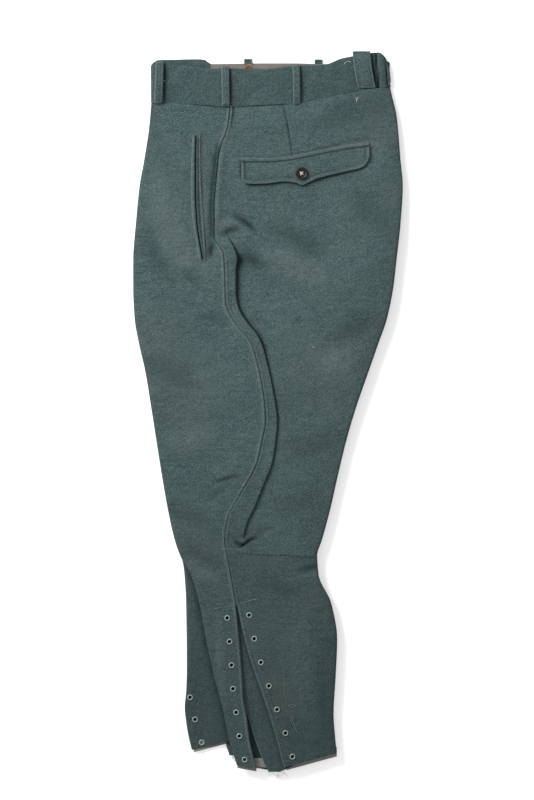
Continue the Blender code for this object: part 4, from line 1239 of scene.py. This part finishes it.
@dataclass
class Patch:
    """Small flat piece: a band, strip, lip, flap or tape.

    Args:
        name: Name of the CAD node.
        first: Where it starts along its length.
        last: Where it ends along its length.
        low: One long edge, at each place along it.
        high: The other long edge.
        height: Height of its middle surface, from (across, down).
        lengthwise: True when it runs down the garment, False when it runs across.
        thickness: Thickness of its cloth.
        pitch: Size of its cells.
        border: How far its edge stands up, in metres.
        border_width: Width of that raised edge.
        corner: Radius of the corners of its high edge.
        pale: Strength of the painted highlight on its edges.
        low_edge_shading: Extra painted highlight on its low edge, or painted shade there below 0.
        high_edge_shading: The same for its high edge.
        rough: Height of its small waves.
        tint: Paleness of the whole piece, or its darkness below 0.
        tucked: Whether the low edge lies under another piece and has no border.
        shade: Paleness of each place, from (across, down).
        rests: Names of the pieces that it rests on; not used.
    """

    name: str
    first: float
    last: float
    low: Start
    high: Start
    height: Level
    lengthwise: bool = False
    thickness: float = G.cloth
    pitch: float = 0.0024
    border: float = 0.0
    border_width: float = 0.0032
    corner: float = 0.0
    pale: float = 0.25
    low_edge_shading: float = 0.0
    high_edge_shading: float = 0.0
    rough: float = 0.00025
    tint: float = 0.0
    tucked: bool = False
    shade: Level = no_drop
    rests: tuple[str, ...] = ("left_front_cloth", "left_back_cloth")

    def grid(self) -> tuple[Array, Array, Array]:
        """Return across, down and the distance to the nearest edge, for each cell corner."""
        length = self.last - self.first
        fine = min(0.2, 0.004 / length)
        share = shares([(fine, fine / 4), (1.0 - fine, self.pitch / length), (1.0, fine / 4)])
        along = (self.first + length * share)[:, None]
        low, high = self.low(along) + along * 0.0, self.high(along) + along * 0.0
        if self.corner:
            gap = np.minimum(np.minimum(along - self.first, self.last - along), self.corner)
            high = high - self.corner + np.sqrt(self.corner**2 - (self.corner - gap) ** 2)
        width = float(np.abs(high - low).max())
        fine = min(0.25, 0.003 / width)
        over = shares([(fine, fine / 3), (1.0 - fine, self.pitch / width), (1.0, fine / 3)])
        other = low + (high - low) * over
        near = np.minimum(np.minimum(other - low + float(self.tucked), high - other),
                          np.minimum(along - self.first, self.last - along) + 1e-9)
        along = np.broadcast_to(along, other.shape)
        return (other, along, near) if self.lengthwise else (along, other, near)

    def build(self, material: bpy.types.Material, slot: str = "wool",
              held: str = "laid") -> bpy.types.Object:
        """Make the piece."""
        across, down, near = self.grid()
        height = self.height(across, down)
        fold = self.border * np.exp(-(((near - self.border_width * 0.45) / self.border_width) ** 2) * 3)
        groove = -0.6 * self.border * bell(near - self.border_width * 1.45, 0.0009)
        points = G.world(across, down, height + fold + groove)
        points[..., 2] += ruffle(points, 0.014, 5.0) * self.rough
        place = down if self.lengthwise else across
        other = across if self.lengthwise else down
        # Painted light: highlights on the edges, painted shade in the border's groove and on edges set
        # below 0, and the painted light of the shade function; the tint is added too.
        wear = self.tint + self.pale * bell(near, 0.0016) - (groove < -2e-5) * 0.25
        wear = wear + self.low_edge_shading * bell(other - self.low(place), 0.0013)
        wear = wear + self.high_edge_shading * bell(self.high(place) - other, 0.0013)
        wear = wear + self.shade(across, down)
        thing = sheet(self.name + "_cloth", points, wear, self.thickness,
                      rounding=min(0.0007, self.thickness * 0.35))
        long = float(np.linalg.norm(np.diff(points, axis=0), axis=2).sum(axis=0).max())
        wide = float(np.linalg.norm(np.diff(points, axis=1), axis=2).sum(axis=1).max())
        Piece(thing.name, [self.name], slot).finish(thing, material)
        wide, long = max(0.011, round(wide + 5e-4, 3)), max(0.011, round(long + 5e-4, 3))
        return thing


@dataclass
class Thread:
    """Sewing thread: rows of stitches, bar tacks and loose ends.

    Args:
        name: Name of the object.
        length: Length of a stitch.
        pitch: Distance from one stitch to the next.
        radius: Radius of the thread.
    """

    name: str
    length: float = 0.0019
    pitch: float = 0.0030
    radius: float = 0.00030
    shape: bmesh.types.BMesh = field(default_factory=bmesh.new)

    def row(self, places: Sequence[tuple[float, float]], lift: float = 0.0,
            height: Optional[Level] = None) -> "Thread":
        """Sew a row of stitches.

        Args:
            places: (across, down) of the row's turning points.
            lift: How far above the surface it runs.
            height: Height of the cloth's face, or None for the left half.

        Returns:
            The same thread.
        """
        points = np.array(places)
        legs = np.hypot(*np.diff(points, axis=0).T)
        run = np.concatenate([[0.0], np.cumsum(legs)])
        count = max(1, int(run[-1] / self.pitch))
        at = (np.arange(count) + 0.5) * run[-1] / count
        across = np.interp(at, run, points[:, 0])
        down = np.interp(at, run, points[:, 1])
        ahead_across = np.interp(at + 1e-3, run, points[:, 0]) - np.interp(at - 1e-3, run, points[:, 0])
        ahead_down = np.interp(at + 1e-3, run, points[:, 1]) - np.interp(at - 1e-3, run, points[:, 1])
        face = (G.top(across, down) + G.cloth / 2) if height is None else height(across, down)
        spots = G.world(across, down, face + lift)
        for spot, x, y in zip(spots, ahead_across, ahead_down):
            turn = Matrix.Rotation(math.atan2(-y, x), 4, "Z")
            size = Matrix.Diagonal((self.length / 2, self.radius, self.radius * 0.8, 1.0))
            bmesh.ops.create_icosphere(self.shape, subdivisions=1, radius=1.0,
                                       matrix=Matrix.Translation(Vector(spot)) @ turn @ size)
        return self

    def build(self, material: bpy.types.Material, nodes: Sequence[str] = ()) -> bpy.types.Object:
        """Finish the thread as one object."""
        thing = join(self.name, [self.shape])
        return Piece(self.name, nodes, "wool").finish(thing, material)


@dataclass(frozen=True)
class LoopPlan:
    """Belt loop: its middle line, width, place and length, and how far it stands off."""

    node: str
    top: float
    bottom: float
    width: float
    down: float
    length: float
    lift: float
    lean: float = 0.0


@dataclass
class Waist:
    """Waistband halves, lining, belt loops and the inner button."""

    finishes: Finishes
    loops: tuple[LoopPlan, ...] = (
        LoopPlan("belt_loop_front", 0.0370, 0.0350, 0.0112, 0.0160, 0.0575, 0.0026, 0.0010),
        LoopPlan("belt_loop_side", 0.1290, 0.1300, 0.0105, 0.0220, 0.0560, 0.0024),
        LoopPlan("belt_loop_hip", 0.2285, 0.2295, 0.0098, 0.0210, 0.0535, 0.0024),
        LoopPlan("belt_loop_back_wide", 0.3200, 0.3275, 0.0250, 0.0010, 0.0510, 0.0028, -0.0050))
    far_loops: tuple[tuple[str, float], ...] = (
        ("belt_loop_far_side", 0.1610), ("belt_loop_far_hip", 0.2600))

    def face(self, across: Array, down: Array) -> Array:
        """Height of the near waistband's middle surface."""
        near, seam = G.band_near(across), G.band_seam(across)
        share = np.clip((down - near) / (seam - near), 0.0, 1.0)
        crown = 0.0011 * np.sin(np.pi * share) ** 0.5
        folds = 0.0
        for place, rise, wide in ((0.3370, 0.0014, 0.0022), (0.3405, -0.0026, 0.0015),
                                  (0.3450, 0.0020, 0.0026), (0.3505, 0.0014, 0.0022),
                                  (0.3540, -0.0030, 0.0014), (0.3575, 0.0012, 0.0014),
                                  (0.0295, 0.0008, 0.0030)):
            folds = folds + rise * bell(across - place - 0.004 * share, wide)
        ends = between(across, 0.025, 0.004, 0.3605, 0.004)
        tilt = 0.0008 * np.sin(across * 70.0) * share
        return 0.0046 + crown + folds + tilt - 0.0012 * (1.0 - ends)

    def band_shadows(self, across: Array, down: Array) -> Array:
        """Painted shade in the folds that gather the back of the near band, and painted shadows beside
        the right edge of each belt loop.
        """
        share = (down - G.band_near(across)) / (G.band_seam(across) - G.band_near(across))
        dark = across * 0.0
        for place, deep in ((0.3405, 0.7), (0.3540, 0.95), (0.3340, 0.35)):
            dark = dark - deep * bell(across - place - 0.004 * share, 0.0016)
        for place, lean in ((0.0452, 0.0), (0.1362, 0.0), (0.2342, 0.0), (0.3330, 0.0088)):
            gap = across - place - lean * share
            dark = dark - 0.80 * fall_off(gap, 0.0018) * (gap > -0.004)
        return dark

    def build(self) -> None:
        """Make the whole waist."""
        near = ("left_front_cloth", "left_back_cloth")
        far = ("right_front_cloth", "right_back_cloth")
        # Near band: painted shade and shadows from its shade function, a painted highlight along its
        # lower edge, and a darker tint.
        Patch("waistband_left", 0.0250, 0.3600, G.band_near, G.band_seam, self.face,
              thickness=0.0028, pitch=0.0030, border=0.0, pale=0.05,
              rough=0.0008, tint=-0.25, high_edge_shading=0.22, shade=self.band_shadows,
              rests=near).build(self.finishes.wool)
        # Far band: painted highlights on its edges, and a darker tint.
        Patch("waistband_right", 0.0250, 0.3600, G.band_far, G.band_seam,
              lambda across, down: 0.00105 + across * 0.0, pitch=0.0045, tint=-0.28,
              pale=0.15, rests=far).build(self.finishes.wool)
        Patch("waistband_lining", 0.1085, 0.3450, lambda across: G.band_far(across) + 0.0004,
              lambda across: G.band_seam(across) - 0.004,
              lambda across, down: 0.0026 + across * 0.0, thickness=0.0006, pitch=0.0045,
              pale=0.0, rests=far).build(self.finishes.lining, "lining")
        stitches = Thread("loop_stitches")
        for plan in self.loops:
            self.loop(plan, stitches)
        for node, centre in self.far_loops:
            edge = float(G.band_far(centre)) - G.seam
            # Far belt loops: painted highlights on their edges.
            Patch(node, edge - 0.0060, edge + 0.0045, lambda down, c=centre: c - 0.0055 + down * 0.0,
                  lambda down, c=centre: c + 0.0055 + down * 0.0,
                  lambda across, down: 0.0009 + across * 0.0, lengthwise=True,
                  thickness=0.0016, border=0.0004, border_width=0.0018,
                  rests=far).build(self.finishes.wool, held="folded")
        stitches.build(self.finishes.thread)
        seam = Thread("waist_stitches", pitch=0.0034)
        across = np.linspace(0.028, 0.356, 60)
        seam.row(list(zip(across, G.band_seam(across) - 0.0032)), 0.0001,
                 lambda x, y: self.face(x, y) + 0.0014)
        seam.build(self.finishes.thread)
        Button("inner_button", 0.1615, 0.0262, 0.0058, 0.0026, "amber_button").build(
            self.finishes.amber, self.finishes)
        arc = [(0.1622 + 0.0056 * math.cos(a), 0.0200 - 0.0038 * math.sin(a))
               for a in np.linspace(0.0, math.pi, 13)]
        centre = [tuple(G.point(x, y, 0.0026)) for x, y in arc]
        cord = join("hanger_thread", [tube(np.array(centre), 0.0009, 8)])
        Piece(cord.name, (), "wool").finish(cord, self.finishes.wool)

    def loop(self, plan: LoopPlan, stitches: Thread) -> None:
        """Make one belt loop and its two rows of stitches."""
        def middle(down: Array) -> Array:
            share = (down - plan.down) / plan.length
            bend = plan.lean * 0.25 * np.sin(np.pi * share)
            return plan.top + (plan.bottom - plan.top) * share + bend

        def height(across: Array, down: Array) -> Array:
            share = np.clip((down - plan.down) / plan.length, 0.0, 1.0)
            arch = plan.lift * np.sin(np.pi * share) ** 0.6
            floor = np.where(down > G.band_seam(across), G.top(across, down),
                             self.face(across, np.maximum(down, G.band_near(across) + 0.002)) + 0.0004)
            over = (across - middle(down)) / plan.width
            return floor + 0.0022 + arch - 0.0009 * (2.0 * over) ** 2

        # Painted highlights on the loop's edges and a painted shadow along its right edge.
        Patch(plan.node, plan.down, plan.down + plan.length,
              lambda down: middle(down) - plan.width / 2,
              lambda down: middle(down) + plan.width / 2, height, lengthwise=True,
              thickness=0.0018, pitch=0.0020, border=0.0003, border_width=0.0018,
              pale=0.36, high_edge_shading=-0.25, rests=("waistband_left_cloth",)).build(
                  self.finishes.wool, held="folded")
        down = np.linspace(plan.down + 0.002, plan.down + plan.length - 0.002, 12)
        for side in (-1.0, 1.0):
            across = middle(down) + side * (plan.width / 2 - 0.0022)
            stitches.row(list(zip(across, down)), 0.0011, height)


@dataclass
class Button:
    """Sew-through button with a raised rim, four holes' thread and no marks.

    Args:
        node: CAD node that it stands for.
        across: Place of its centre.
        down: Place of its centre.
        radius: Its radius.
        rest: Height that it rests on.
        slot: Its material slot.
    """

    node: str
    across: float
    down: float
    radius: float
    rest: float
    slot: str = "horn"

    def build(self, finish: bpy.types.Material, finishes: Finishes,
              thread: bool = False) -> None:
        """Make the button and the thread across its middle."""
        thick = self.radius * 0.34
        outline = [(0.0, 0.0), (0.78, 0.0), (0.93, 0.18), (1.0, 0.50), (0.985, 0.78), (0.93, 0.97),
                   (0.85, 1.0), (0.77, 0.93), (0.70, 0.74), (0.60, 0.66), (0.42, 0.70),
                   (0.20, 0.66), (0.0, 0.62)]
        turned = [(r * self.radius, z * thick) for r, z in outline]
        shape = lathe(turned, False, 48, G.point(self.across, self.down, self.rest))
        thing = join(self.node + "_body", [shape])
        Piece(thing.name, [self.node], self.slot).finish(thing, finish)
        if not thread:
            return
        shapes = []
        top = self.rest + thick * 0.72
        hole = self.radius * 0.34
        for turn in (math.radians(38), math.radians(128)):
            for shift in (-0.00035, 0.00035):
                line = []
                for t in np.linspace(-1.0, 1.0, 9):
                    x = hole * t * math.cos(turn) - shift * math.sin(turn)
                    y = hole * t * math.sin(turn) + shift * math.cos(turn)
                    lift = 0.0009 * (1.0 - t * t)
                    line.append(tuple(G.point(self.across + x, self.down + y, top + lift)))
                shapes.append(tube(np.array(line), 0.0004, 6))
        cross = join(self.node + "_thread", shapes)
        Piece(cross.name, (), "wool").finish(cross, finishes.pale_thread)


@dataclass
class Pockets:
    """Side pocket with its two lips, and hip pocket with welt, flap and button."""

    finishes: Finishes
    front_lip: Curve = curve((0.119, 0.0835), (0.165, 0.0815), (0.205, 0.0812), (0.240, 0.0840),
                             (0.294, 0.0930))
    back_lip: Curve = curve((0.119, 0.0935), (0.165, 0.0940), (0.205, 0.0955), (0.240, 0.0980),
                            (0.294, 0.1015))

    def lips(self) -> None:
        """Make the side pocket's lips, its stitches and its bar tacks."""
        def rolled(edge: Curve, lift: float) -> Level:
            def height(across: Array, down: Array) -> Array:
                width = np.abs(G.pocket_slit(down) - edge(down))
                share = np.clip(np.abs(across - G.pocket_slit(down)) / width, 0.0, 1.0)
                ends = between(down, 0.117, 0.008, 0.296, 0.008)
                roll = lift * np.sin(np.pi * np.clip(0.25 + 0.75 * share, 0, 1)) ** 0.7
                return G.top(across, down) + 0.0006 + roll * ends
            return height

        # Painted highlights on the lips' outer edges and painted shade along the slit between them.
        Patch("pocket_lip_front", 0.119, 0.294, self.front_lip, lambda d: G.pocket_slit(d) - 0.0011,
              rolled(self.front_lip, 0.0024), lengthwise=True, thickness=0.0014,
              pitch=0.0018, pale=0.06, low_edge_shading=0.26, high_edge_shading=-0.75,
              rests=("left_front_cloth",)).build(self.finishes.wool, held="folded")
        Patch("pocket_lip_back", 0.119, 0.294, lambda d: G.pocket_slit(d) + 0.0012, self.back_lip,
              rolled(self.back_lip, 0.0020), lengthwise=True, thickness=0.0016,
              pitch=0.0014, border=0.0009,
              border_width=0.0020, pale=0.06, low_edge_shading=-0.55, high_edge_shading=0.85,
              rests=("left_front_cloth",)).build(self.finishes.wool, held="folded")
        thread = Thread("pocket_stitches")
        down = np.linspace(0.122, 0.292, 30)
        thread.row(list(zip(self.front_lip(down) - 0.0002, down)), 0.0012)
        thread.row(list(zip(self.back_lip(down) + 0.0006, down)), 0.0006)
        for first, last, place in ((0.0815, 0.0945, 0.1185), (0.0815, 0.0945, 0.1165),
                                   (0.0930, 0.1020, 0.2950), (0.0930, 0.1020, 0.2935)):
            thread.row([(first, place), (last, place - 0.0008)], 0.0024)
        thread.build(self.finishes.thread)

    def flap(self) -> None:
        """Make the hip pocket's welt, flap, stitches and button."""
        def welt_height(across: Array, down: Array) -> Array:
            share = np.clip((G.flap_top(across) - down) / 0.0052, 0.0, 1.0)
            return G.top(across, down) + 0.0009 + 0.0012 * np.sin(np.pi * share) ** 0.7

        def flap_height(across: Array, down: Array) -> Array:
            share = (down - G.flap_top(across)) / 0.030
            swell = 0.0007 * np.sin(np.pi * np.clip(share, 0.0, 1.0))
            return G.top(across, down) + 0.0022 + swell

        # Painted highlights on the edges of the welt and the flap, and a painted shadow along the
        # flap's top edge under the welt.
        Patch("hip_welt", 0.1515, 0.3310, lambda a: G.flap_top(a) - 0.0054,
              lambda a: G.flap_top(a) - 0.0002, welt_height, thickness=0.0014,
              pitch=0.0024, pale=0.20, rests=("left_back_cloth",)).build(
                  self.finishes.wool, held="folded")
        Patch("hip_flap", 0.1525, 0.3310, G.flap_top, G.flap_foot, flap_height,
              thickness=0.0022, pitch=0.0020, border=0.0011, border_width=0.0032,
              corner=0.0090, pale=0.26, low_edge_shading=-1.10, tucked=True,
              rests=("left_back_cloth",)).build(self.finishes.wool)
        thread = Thread("flap_stitches")
        across = np.linspace(0.1580, 0.3260, 60)
        inset = 0.0046
        corner = 0.011 - np.minimum(np.minimum(across - 0.1525, 0.3310 - across), 0.011)
        pull = 0.011 - np.sqrt(0.011**2 - corner**2)
        thread.row(list(zip(across, G.flap_foot(across) - inset - pull)), 0.0012, flap_height)
        thread.row(list(zip(across, G.flap_top(across) - 0.0062)), 0.0003)
        thread.row([(0.1568, 0.1590), (0.1568, 0.1780)], 0.0012, flap_height)
        thread.row([(0.3268, 0.1370), (0.3268, 0.1560)], 0.0012, flap_height)
        thread.row([(0.2380, 0.1545), (0.2376, 0.1640)], 0.0013, flap_height)
        thread.build(self.finishes.thread)
        rest = float(flap_height(np.array(0.2362), np.array(0.1725))) + 0.0014
        Button("hip_button", 0.2362, 0.1725, 0.0085, rest).build(
            self.finishes.horn, self.finishes, True)

    def build(self) -> None:
        """Make both pockets."""
        self.lips()
        self.flap()


@dataclass(frozen=True)
class EyeletColumn:
    """Column of eyelets: name of its nodes and (across, down) of each."""

    name: str
    places: tuple[tuple[float, float], ...]
    height: Level


@dataclass
class Calf:
    """Slit, eyelets, tongue, tapes, stitches and frayed ends of the lower legs.

    Args:
        finishes: The garment's materials.
        pitch: Distance from one eyelet to the next.
        inset: How far an eyelet lies from the slit's edge.
        count: Number of eyelets in each column of the left slit.
    """

    finishes: Finishes
    pitch: float = 0.033
    inset: float = 0.0140
    count: int = 7

    def columns(self) -> tuple[EyeletColumn, ...]:
        """Return the three columns of eyelets."""
        front, rear = [
            tuple((float(edge(first + self.pitch * i)) + side * self.inset, first + self.pitch * i)
                  for i in range(self.count))
            for edge, side, first in ((G.slit_front, -1.0, 0.795), (G.slit_rear, 1.0, 0.791))]
        under = ((0.0796, 0.9074), (0.0866, 0.9384), (0.0960, 0.9706))
        return (EyeletColumn("eyelet_left_front", front, lambda x, y: G.top(x, y) + 0.001),
                EyeletColumn("eyelet_left_rear", rear, lambda x, y: G.top(x, y) + 0.001),
                EyeletColumn("eyelet_right_front", under, self.under_face))

    def under_face(self, across: Array, down: Array) -> Array:
        """Height of the top of the under leg's flap."""
        return G.middle(across, down) - 0.00045 - G.sink(across, down)

    def ring(self, place: tuple[float, float], height: float) -> bmesh.types.BMesh:
        """Make one eyelet: a rolled flange and a short barrel."""
        outline = [(0.00275, -0.0016), (0.00250, -0.0016), (0.00250, 0.0003), (0.00275, 0.0009),
                   (0.00325, 0.00115), (0.00370, 0.0009), (0.00405, 0.0003), (0.00405, 0.0),
                   (0.00275, 0.0)]
        return lathe(outline, True, 24, G.point(*place, height))

    def build(self) -> None:
        """Make everything below the knee."""
        for column in self.columns():
            shapes = []
            for place in column.places:
                height = float(column.height(np.array(place[0]), np.array(place[1])))
                shapes.append(self.ring(place, height + 0.0001))
            thing = join(column.name + "_rings", shapes)
            nodes = [f"{column.name}_{i + 1}" for i in range(len(column.places))]
            Piece(thing.name, nodes, "eyelet").finish(thing, self.finishes.metal)
        self.tongues()
        self.tapes()
        self.stitches()
        self.frayed_ends()

    def tongues(self) -> None:
        """Make the tongue behind each slit."""
        front = curve((0.782, 0.132), (0.850, 0.140), (0.910, 0.154), (0.998, 0.183), (1.011, 0.190))
        rear = curve((0.782, 0.176), (0.850, 0.188), (0.910, 0.206), (0.998, 0.229), (1.011, 0.206))
        # Painted highlight on the tongue's front edge, a painted shadow beside the calf's edge, and a
        # darker tint.
        Patch("left_tongue", 0.782, 1.011, front, rear,
              lambda x, y: 2.0 * G.middle(x, y) - 0.0031 + x * 0.0, lengthwise=True,
              thickness=0.0016, pitch=0.0024, tint=-0.08, low_edge_shading=0.20,
              shade=lambda x, y: -0.70 * fall_off(G.slit_rear(y) - x, 0.0034),
              rests=("left_calf_cloth",)).build(self.finishes.wool)
        front = curve((0.800, 0.120), (0.900, 0.127), (0.972, 0.130), (0.989, 0.135))
        rear = curve((0.800, 0.152), (0.900, 0.160), (0.972, 0.166), (0.989, 0.150))
        Patch("right_tongue", 0.800, 0.989, front, rear,
              lambda x, y: 0.0031 + x * 0.0, lengthwise=True, thickness=0.0016, pitch=0.0040,
              rests=("right_calf_cloth",)).build(self.finishes.wool)

    def tapes(self) -> None:
        """Make the tapes along the hems."""
        plans = (("left_front", (0.146, 1.0056), (0.1728, 1.0102), 2.0, 0.0027, 0.013),
                 ("left_calf", (0.2150, 1.0086), (0.2855, 0.9893), 2.0, 0.0027, 0.013),
                 ("left_inside", (0.154, 1.0045), (0.186, 1.0050), 1.0, -0.0031, 0.013),
                 ("right_front", (0.0850, 0.9845), (0.1330, 0.9720), 1.0, 0.0040, 0.018))
        for name, start, end, level, drop, width in plans:
            foot = curve(start, end)
            Patch("hem_tape_" + name, start[0], end[0], lambda x, f=foot, w=width: f(x) - w,
                  foot, lambda x, y, v=level, d=drop: v * G.middle(x, y) - d,
                  thickness=0.0008, pitch=0.0022, pale=0.0,
                  rests=("left_front_cloth", "left_calf_cloth")).build(
                      self.finishes.tape, "tape")

    def stitches(self) -> None:
        """Sew the slit's edges, its bar tacks, the side seam and the knee seam, and lay dark thread as
        painted shade in the knee and waist seam grooves.
        """
        thread = Thread("leg_stitches", pitch=0.0034)
        down = np.linspace(0.786, 0.996, 60)
        for inset in (0.0042, 0.0084):
            thread.row(list(zip(G.slit_rear(down) + inset, down)), 0.0001)
        thread.row(list(zip(G.slit_front(down) - 0.0042, down)), 0.0001)
        thread.row([(0.2100, 0.864), (0.2120, 0.905), (0.2170, 0.932), (0.2300, 0.955)], 0.0001)
        thread.row([(0.2170, 0.918), (0.2230, 0.9215), (0.2290, 0.917)], 0.0001)
        down = np.linspace(0.084, 0.770, 160)
        thread.row(list(zip(G.side(down) - 0.0045, down)), 0.0001)
        across = np.linspace(0.146, 0.256, 40)
        thread.row(list(zip(across, 0.7045 + 0.022 * (across - 0.146))), 0.0001)
        thread.build(self.finishes.thread)
        tacks = Thread("slit_tacks", length=0.0024, pitch=0.0025, radius=0.00034)
        tacks.row([(0.1135, 0.7820), (0.1425, 0.7770)], 0.0003)
        tacks.row([(0.1500, 0.7740), (0.1750, 0.7680)], 0.0003)
        tacks.row([(0.1600, 0.7712), (0.1720, 0.7678)], 0.0005)
        tacks.row([(0.2175, 0.9180), (0.2230, 0.9160), (0.2285, 0.9175)], 0.0003)
        tacks.row([(0.2215, 0.9320), (0.2250, 0.9430), (0.2295, 0.9550)], 0.0003)
        tacks.row([(0.1240, 0.6980), (0.1500, 0.6985)], 0.0003)
        tacks.build(self.finishes.tack)
        # Painted shade: dark thread laid along the knee and waist seam grooves.
        seams = Thread("seam_grooves", length=0.0052, pitch=0.0058, radius=0.00030)
        seams.row([(0.1445, 0.7042), (0.1918, 0.7064), (0.2560, 0.7104)], 0.0008)
        seams.row([(0.0290, 0.0716), (0.1246, 0.0782), (0.2338, 0.0752), (0.3108, 0.0589),
                   (0.3540, 0.0527)], 0.0003)
        seams.build(self.finishes.groove)

    def route(self, places: Sequence[tuple[float, float]],
              count: int) -> tuple[Array, Array, Array]:
        """Return across, down and share of the way, for `count` places on a smooth line."""
        keys = tuple(np.linspace(0.0, 1.0, len(places)))
        share = np.linspace(0.0, 1.0, count)
        across, down = (Curve(keys, values)(share) for values in zip(*places))
        return across, down, share

    def frayed_ends(self) -> None:
        """Make the frayed foot of each tongue and the loose threads below the hem."""
        shapes = []
        ends = (((0.188, 1.0100), (0.193, 1.0150), (0.190, 1.0190)),
                ((0.192, 1.0090), (0.200, 1.0160), (0.209, 1.0165), (0.213, 1.0130)),
                ((0.198, 1.0080), (0.204, 1.0130), (0.201, 1.0190), (0.207, 1.0200)),
                ((0.204, 1.0070), (0.206, 1.0120), (0.212, 1.0140), (0.217, 1.0190)),
                ((0.210, 1.0020), (0.213, 1.0080), (0.209, 1.0120)),
                ((0.134, 0.9870), (0.137, 0.9940), (0.134, 0.9985)),
                ((0.140, 0.9880), (0.139, 0.9930), (0.143, 0.9975)),
                ((0.100, 0.9790), (0.098, 0.9850), (0.101, 0.9890)))
        for places in ends:
            x, y, t = self.route(places, 15)
            level = 0.0110 if places[0][0] > 0.15 else 0.0040
            shapes.append(tube(G.world(x, y, level * (1.0 - t) + 0.0008), 0.00028, 5))
        bits = (((0.2960, 0.0185), (0.3010, 0.0150), (0.3055, 0.0160)),
                ((0.3120, 0.0660), (0.3135, 0.0685), (0.3155, 0.0655)),
                ((0.3135, 0.0685), (0.3132, 0.0705), (0.3136, 0.0722)),
                ((0.0425, 0.0420), (0.0438, 0.0425), (0.0447, 0.0418)),
                ((0.2515, 0.4160), (0.2525, 0.4158), (0.2532, 0.4163)))
        for places in bits:
            x, y, t = self.route(places, 9)
            on_band = y < G.band_seam(x)
            z = np.where(on_band, 0.0074, G.top(x, y) + 0.0014)
            shapes.append(tube(G.world(x, y, z), 0.00034, 5))
        thing = join("loose_threads", shapes)
        Piece(thing.name, (), "wool").finish(thing, self.finishes.pale_thread)


@dataclass
class Studio:
    """Camera, lights and the pale floor."""

    frame_height: float = 1.12
    lens: float = 120.0
    sensor: float = 36.0
    look_at: tuple[float, float] = (-0.0014, 0.0155)

    def build(self) -> None:
        """Make the floor, the lights and the camera."""
        shape = bmesh.new()
        bmesh.ops.create_grid(shape, x_segments=1, y_segments=1, size=6.0)
        mesh = bpy.data.meshes.new("floor")
        shape.to_mesh(mesh)
        shape.free()
        floor = link("floor", mesh)
        paper = NodeKit("white_floor")
        paper.shader.inputs["Base Color"].default_value = (0.93, 0.93, 0.93, 1.0)
        paper.shader.inputs["Roughness"].default_value = 0.9
        paper.shader.inputs["Specular IOR Level"].default_value = 0.1
        paper.shader.inputs["Emission Color"].default_value = (1.0, 1.0, 1.0, 1.0)
        paper.shader.inputs["Emission Strength"].default_value = 0.32
        mesh.materials.append(paper.material)
        world = bpy.data.worlds.new("studio")
        world.use_nodes = True
        world.node_tree.nodes["Background"].inputs[0].default_value = (1.0, 1.0, 1.0, 1.0)
        world.node_tree.nodes["Background"].inputs[1].default_value = 0.52
        bpy.context.scene.world = world
        self.lamp("key", (-1.9, 1.7, 1.5), 1.1, 125.0)
        self.lamp("fill", (1.6, -1.8, 2.4), 2.4, 18.0)
        camera = bpy.data.cameras.new("camera")
        camera.lens = self.lens
        camera.sensor_width = self.sensor
        distance = self.frame_height * self.lens / self.sensor
        eye = bpy.data.objects.new("camera", camera)
        eye.location = (self.look_at[0], self.look_at[1], distance + 0.014)
        bpy.context.scene.collection.objects.link(eye)
        bpy.context.scene.camera = eye

    def lamp(self, name: str, place: tuple[float, float, float], size: float, power: float) -> None:
        """Add a soft square lamp that points at the garment."""
        light = bpy.data.lights.new(name, "AREA")
        light.shape = "SQUARE"
        light.size = size
        light.energy = power
        lamp = bpy.data.objects.new(name, light)
        lamp.location = place
        lamp.rotation_euler = (-Vector(place)).to_track_quat("-Z", "Y").to_euler()
        bpy.context.scene.collection.objects.link(lamp)


def main() -> None:
    """Build the studio and every sub-assembly of the garment."""
    logging.basicConfig(level=logging.INFO, format="%(message)s")
    Studio().build()
    finishes = Finishes()
    Legs(finishes).build()
    Waist(finishes).build()
    Pockets(finishes).build()
    Calf(finishes).build()
    bpy.context.scene.view_settings.view_transform = "Standard"


if __name__ == "__main__":
    main()
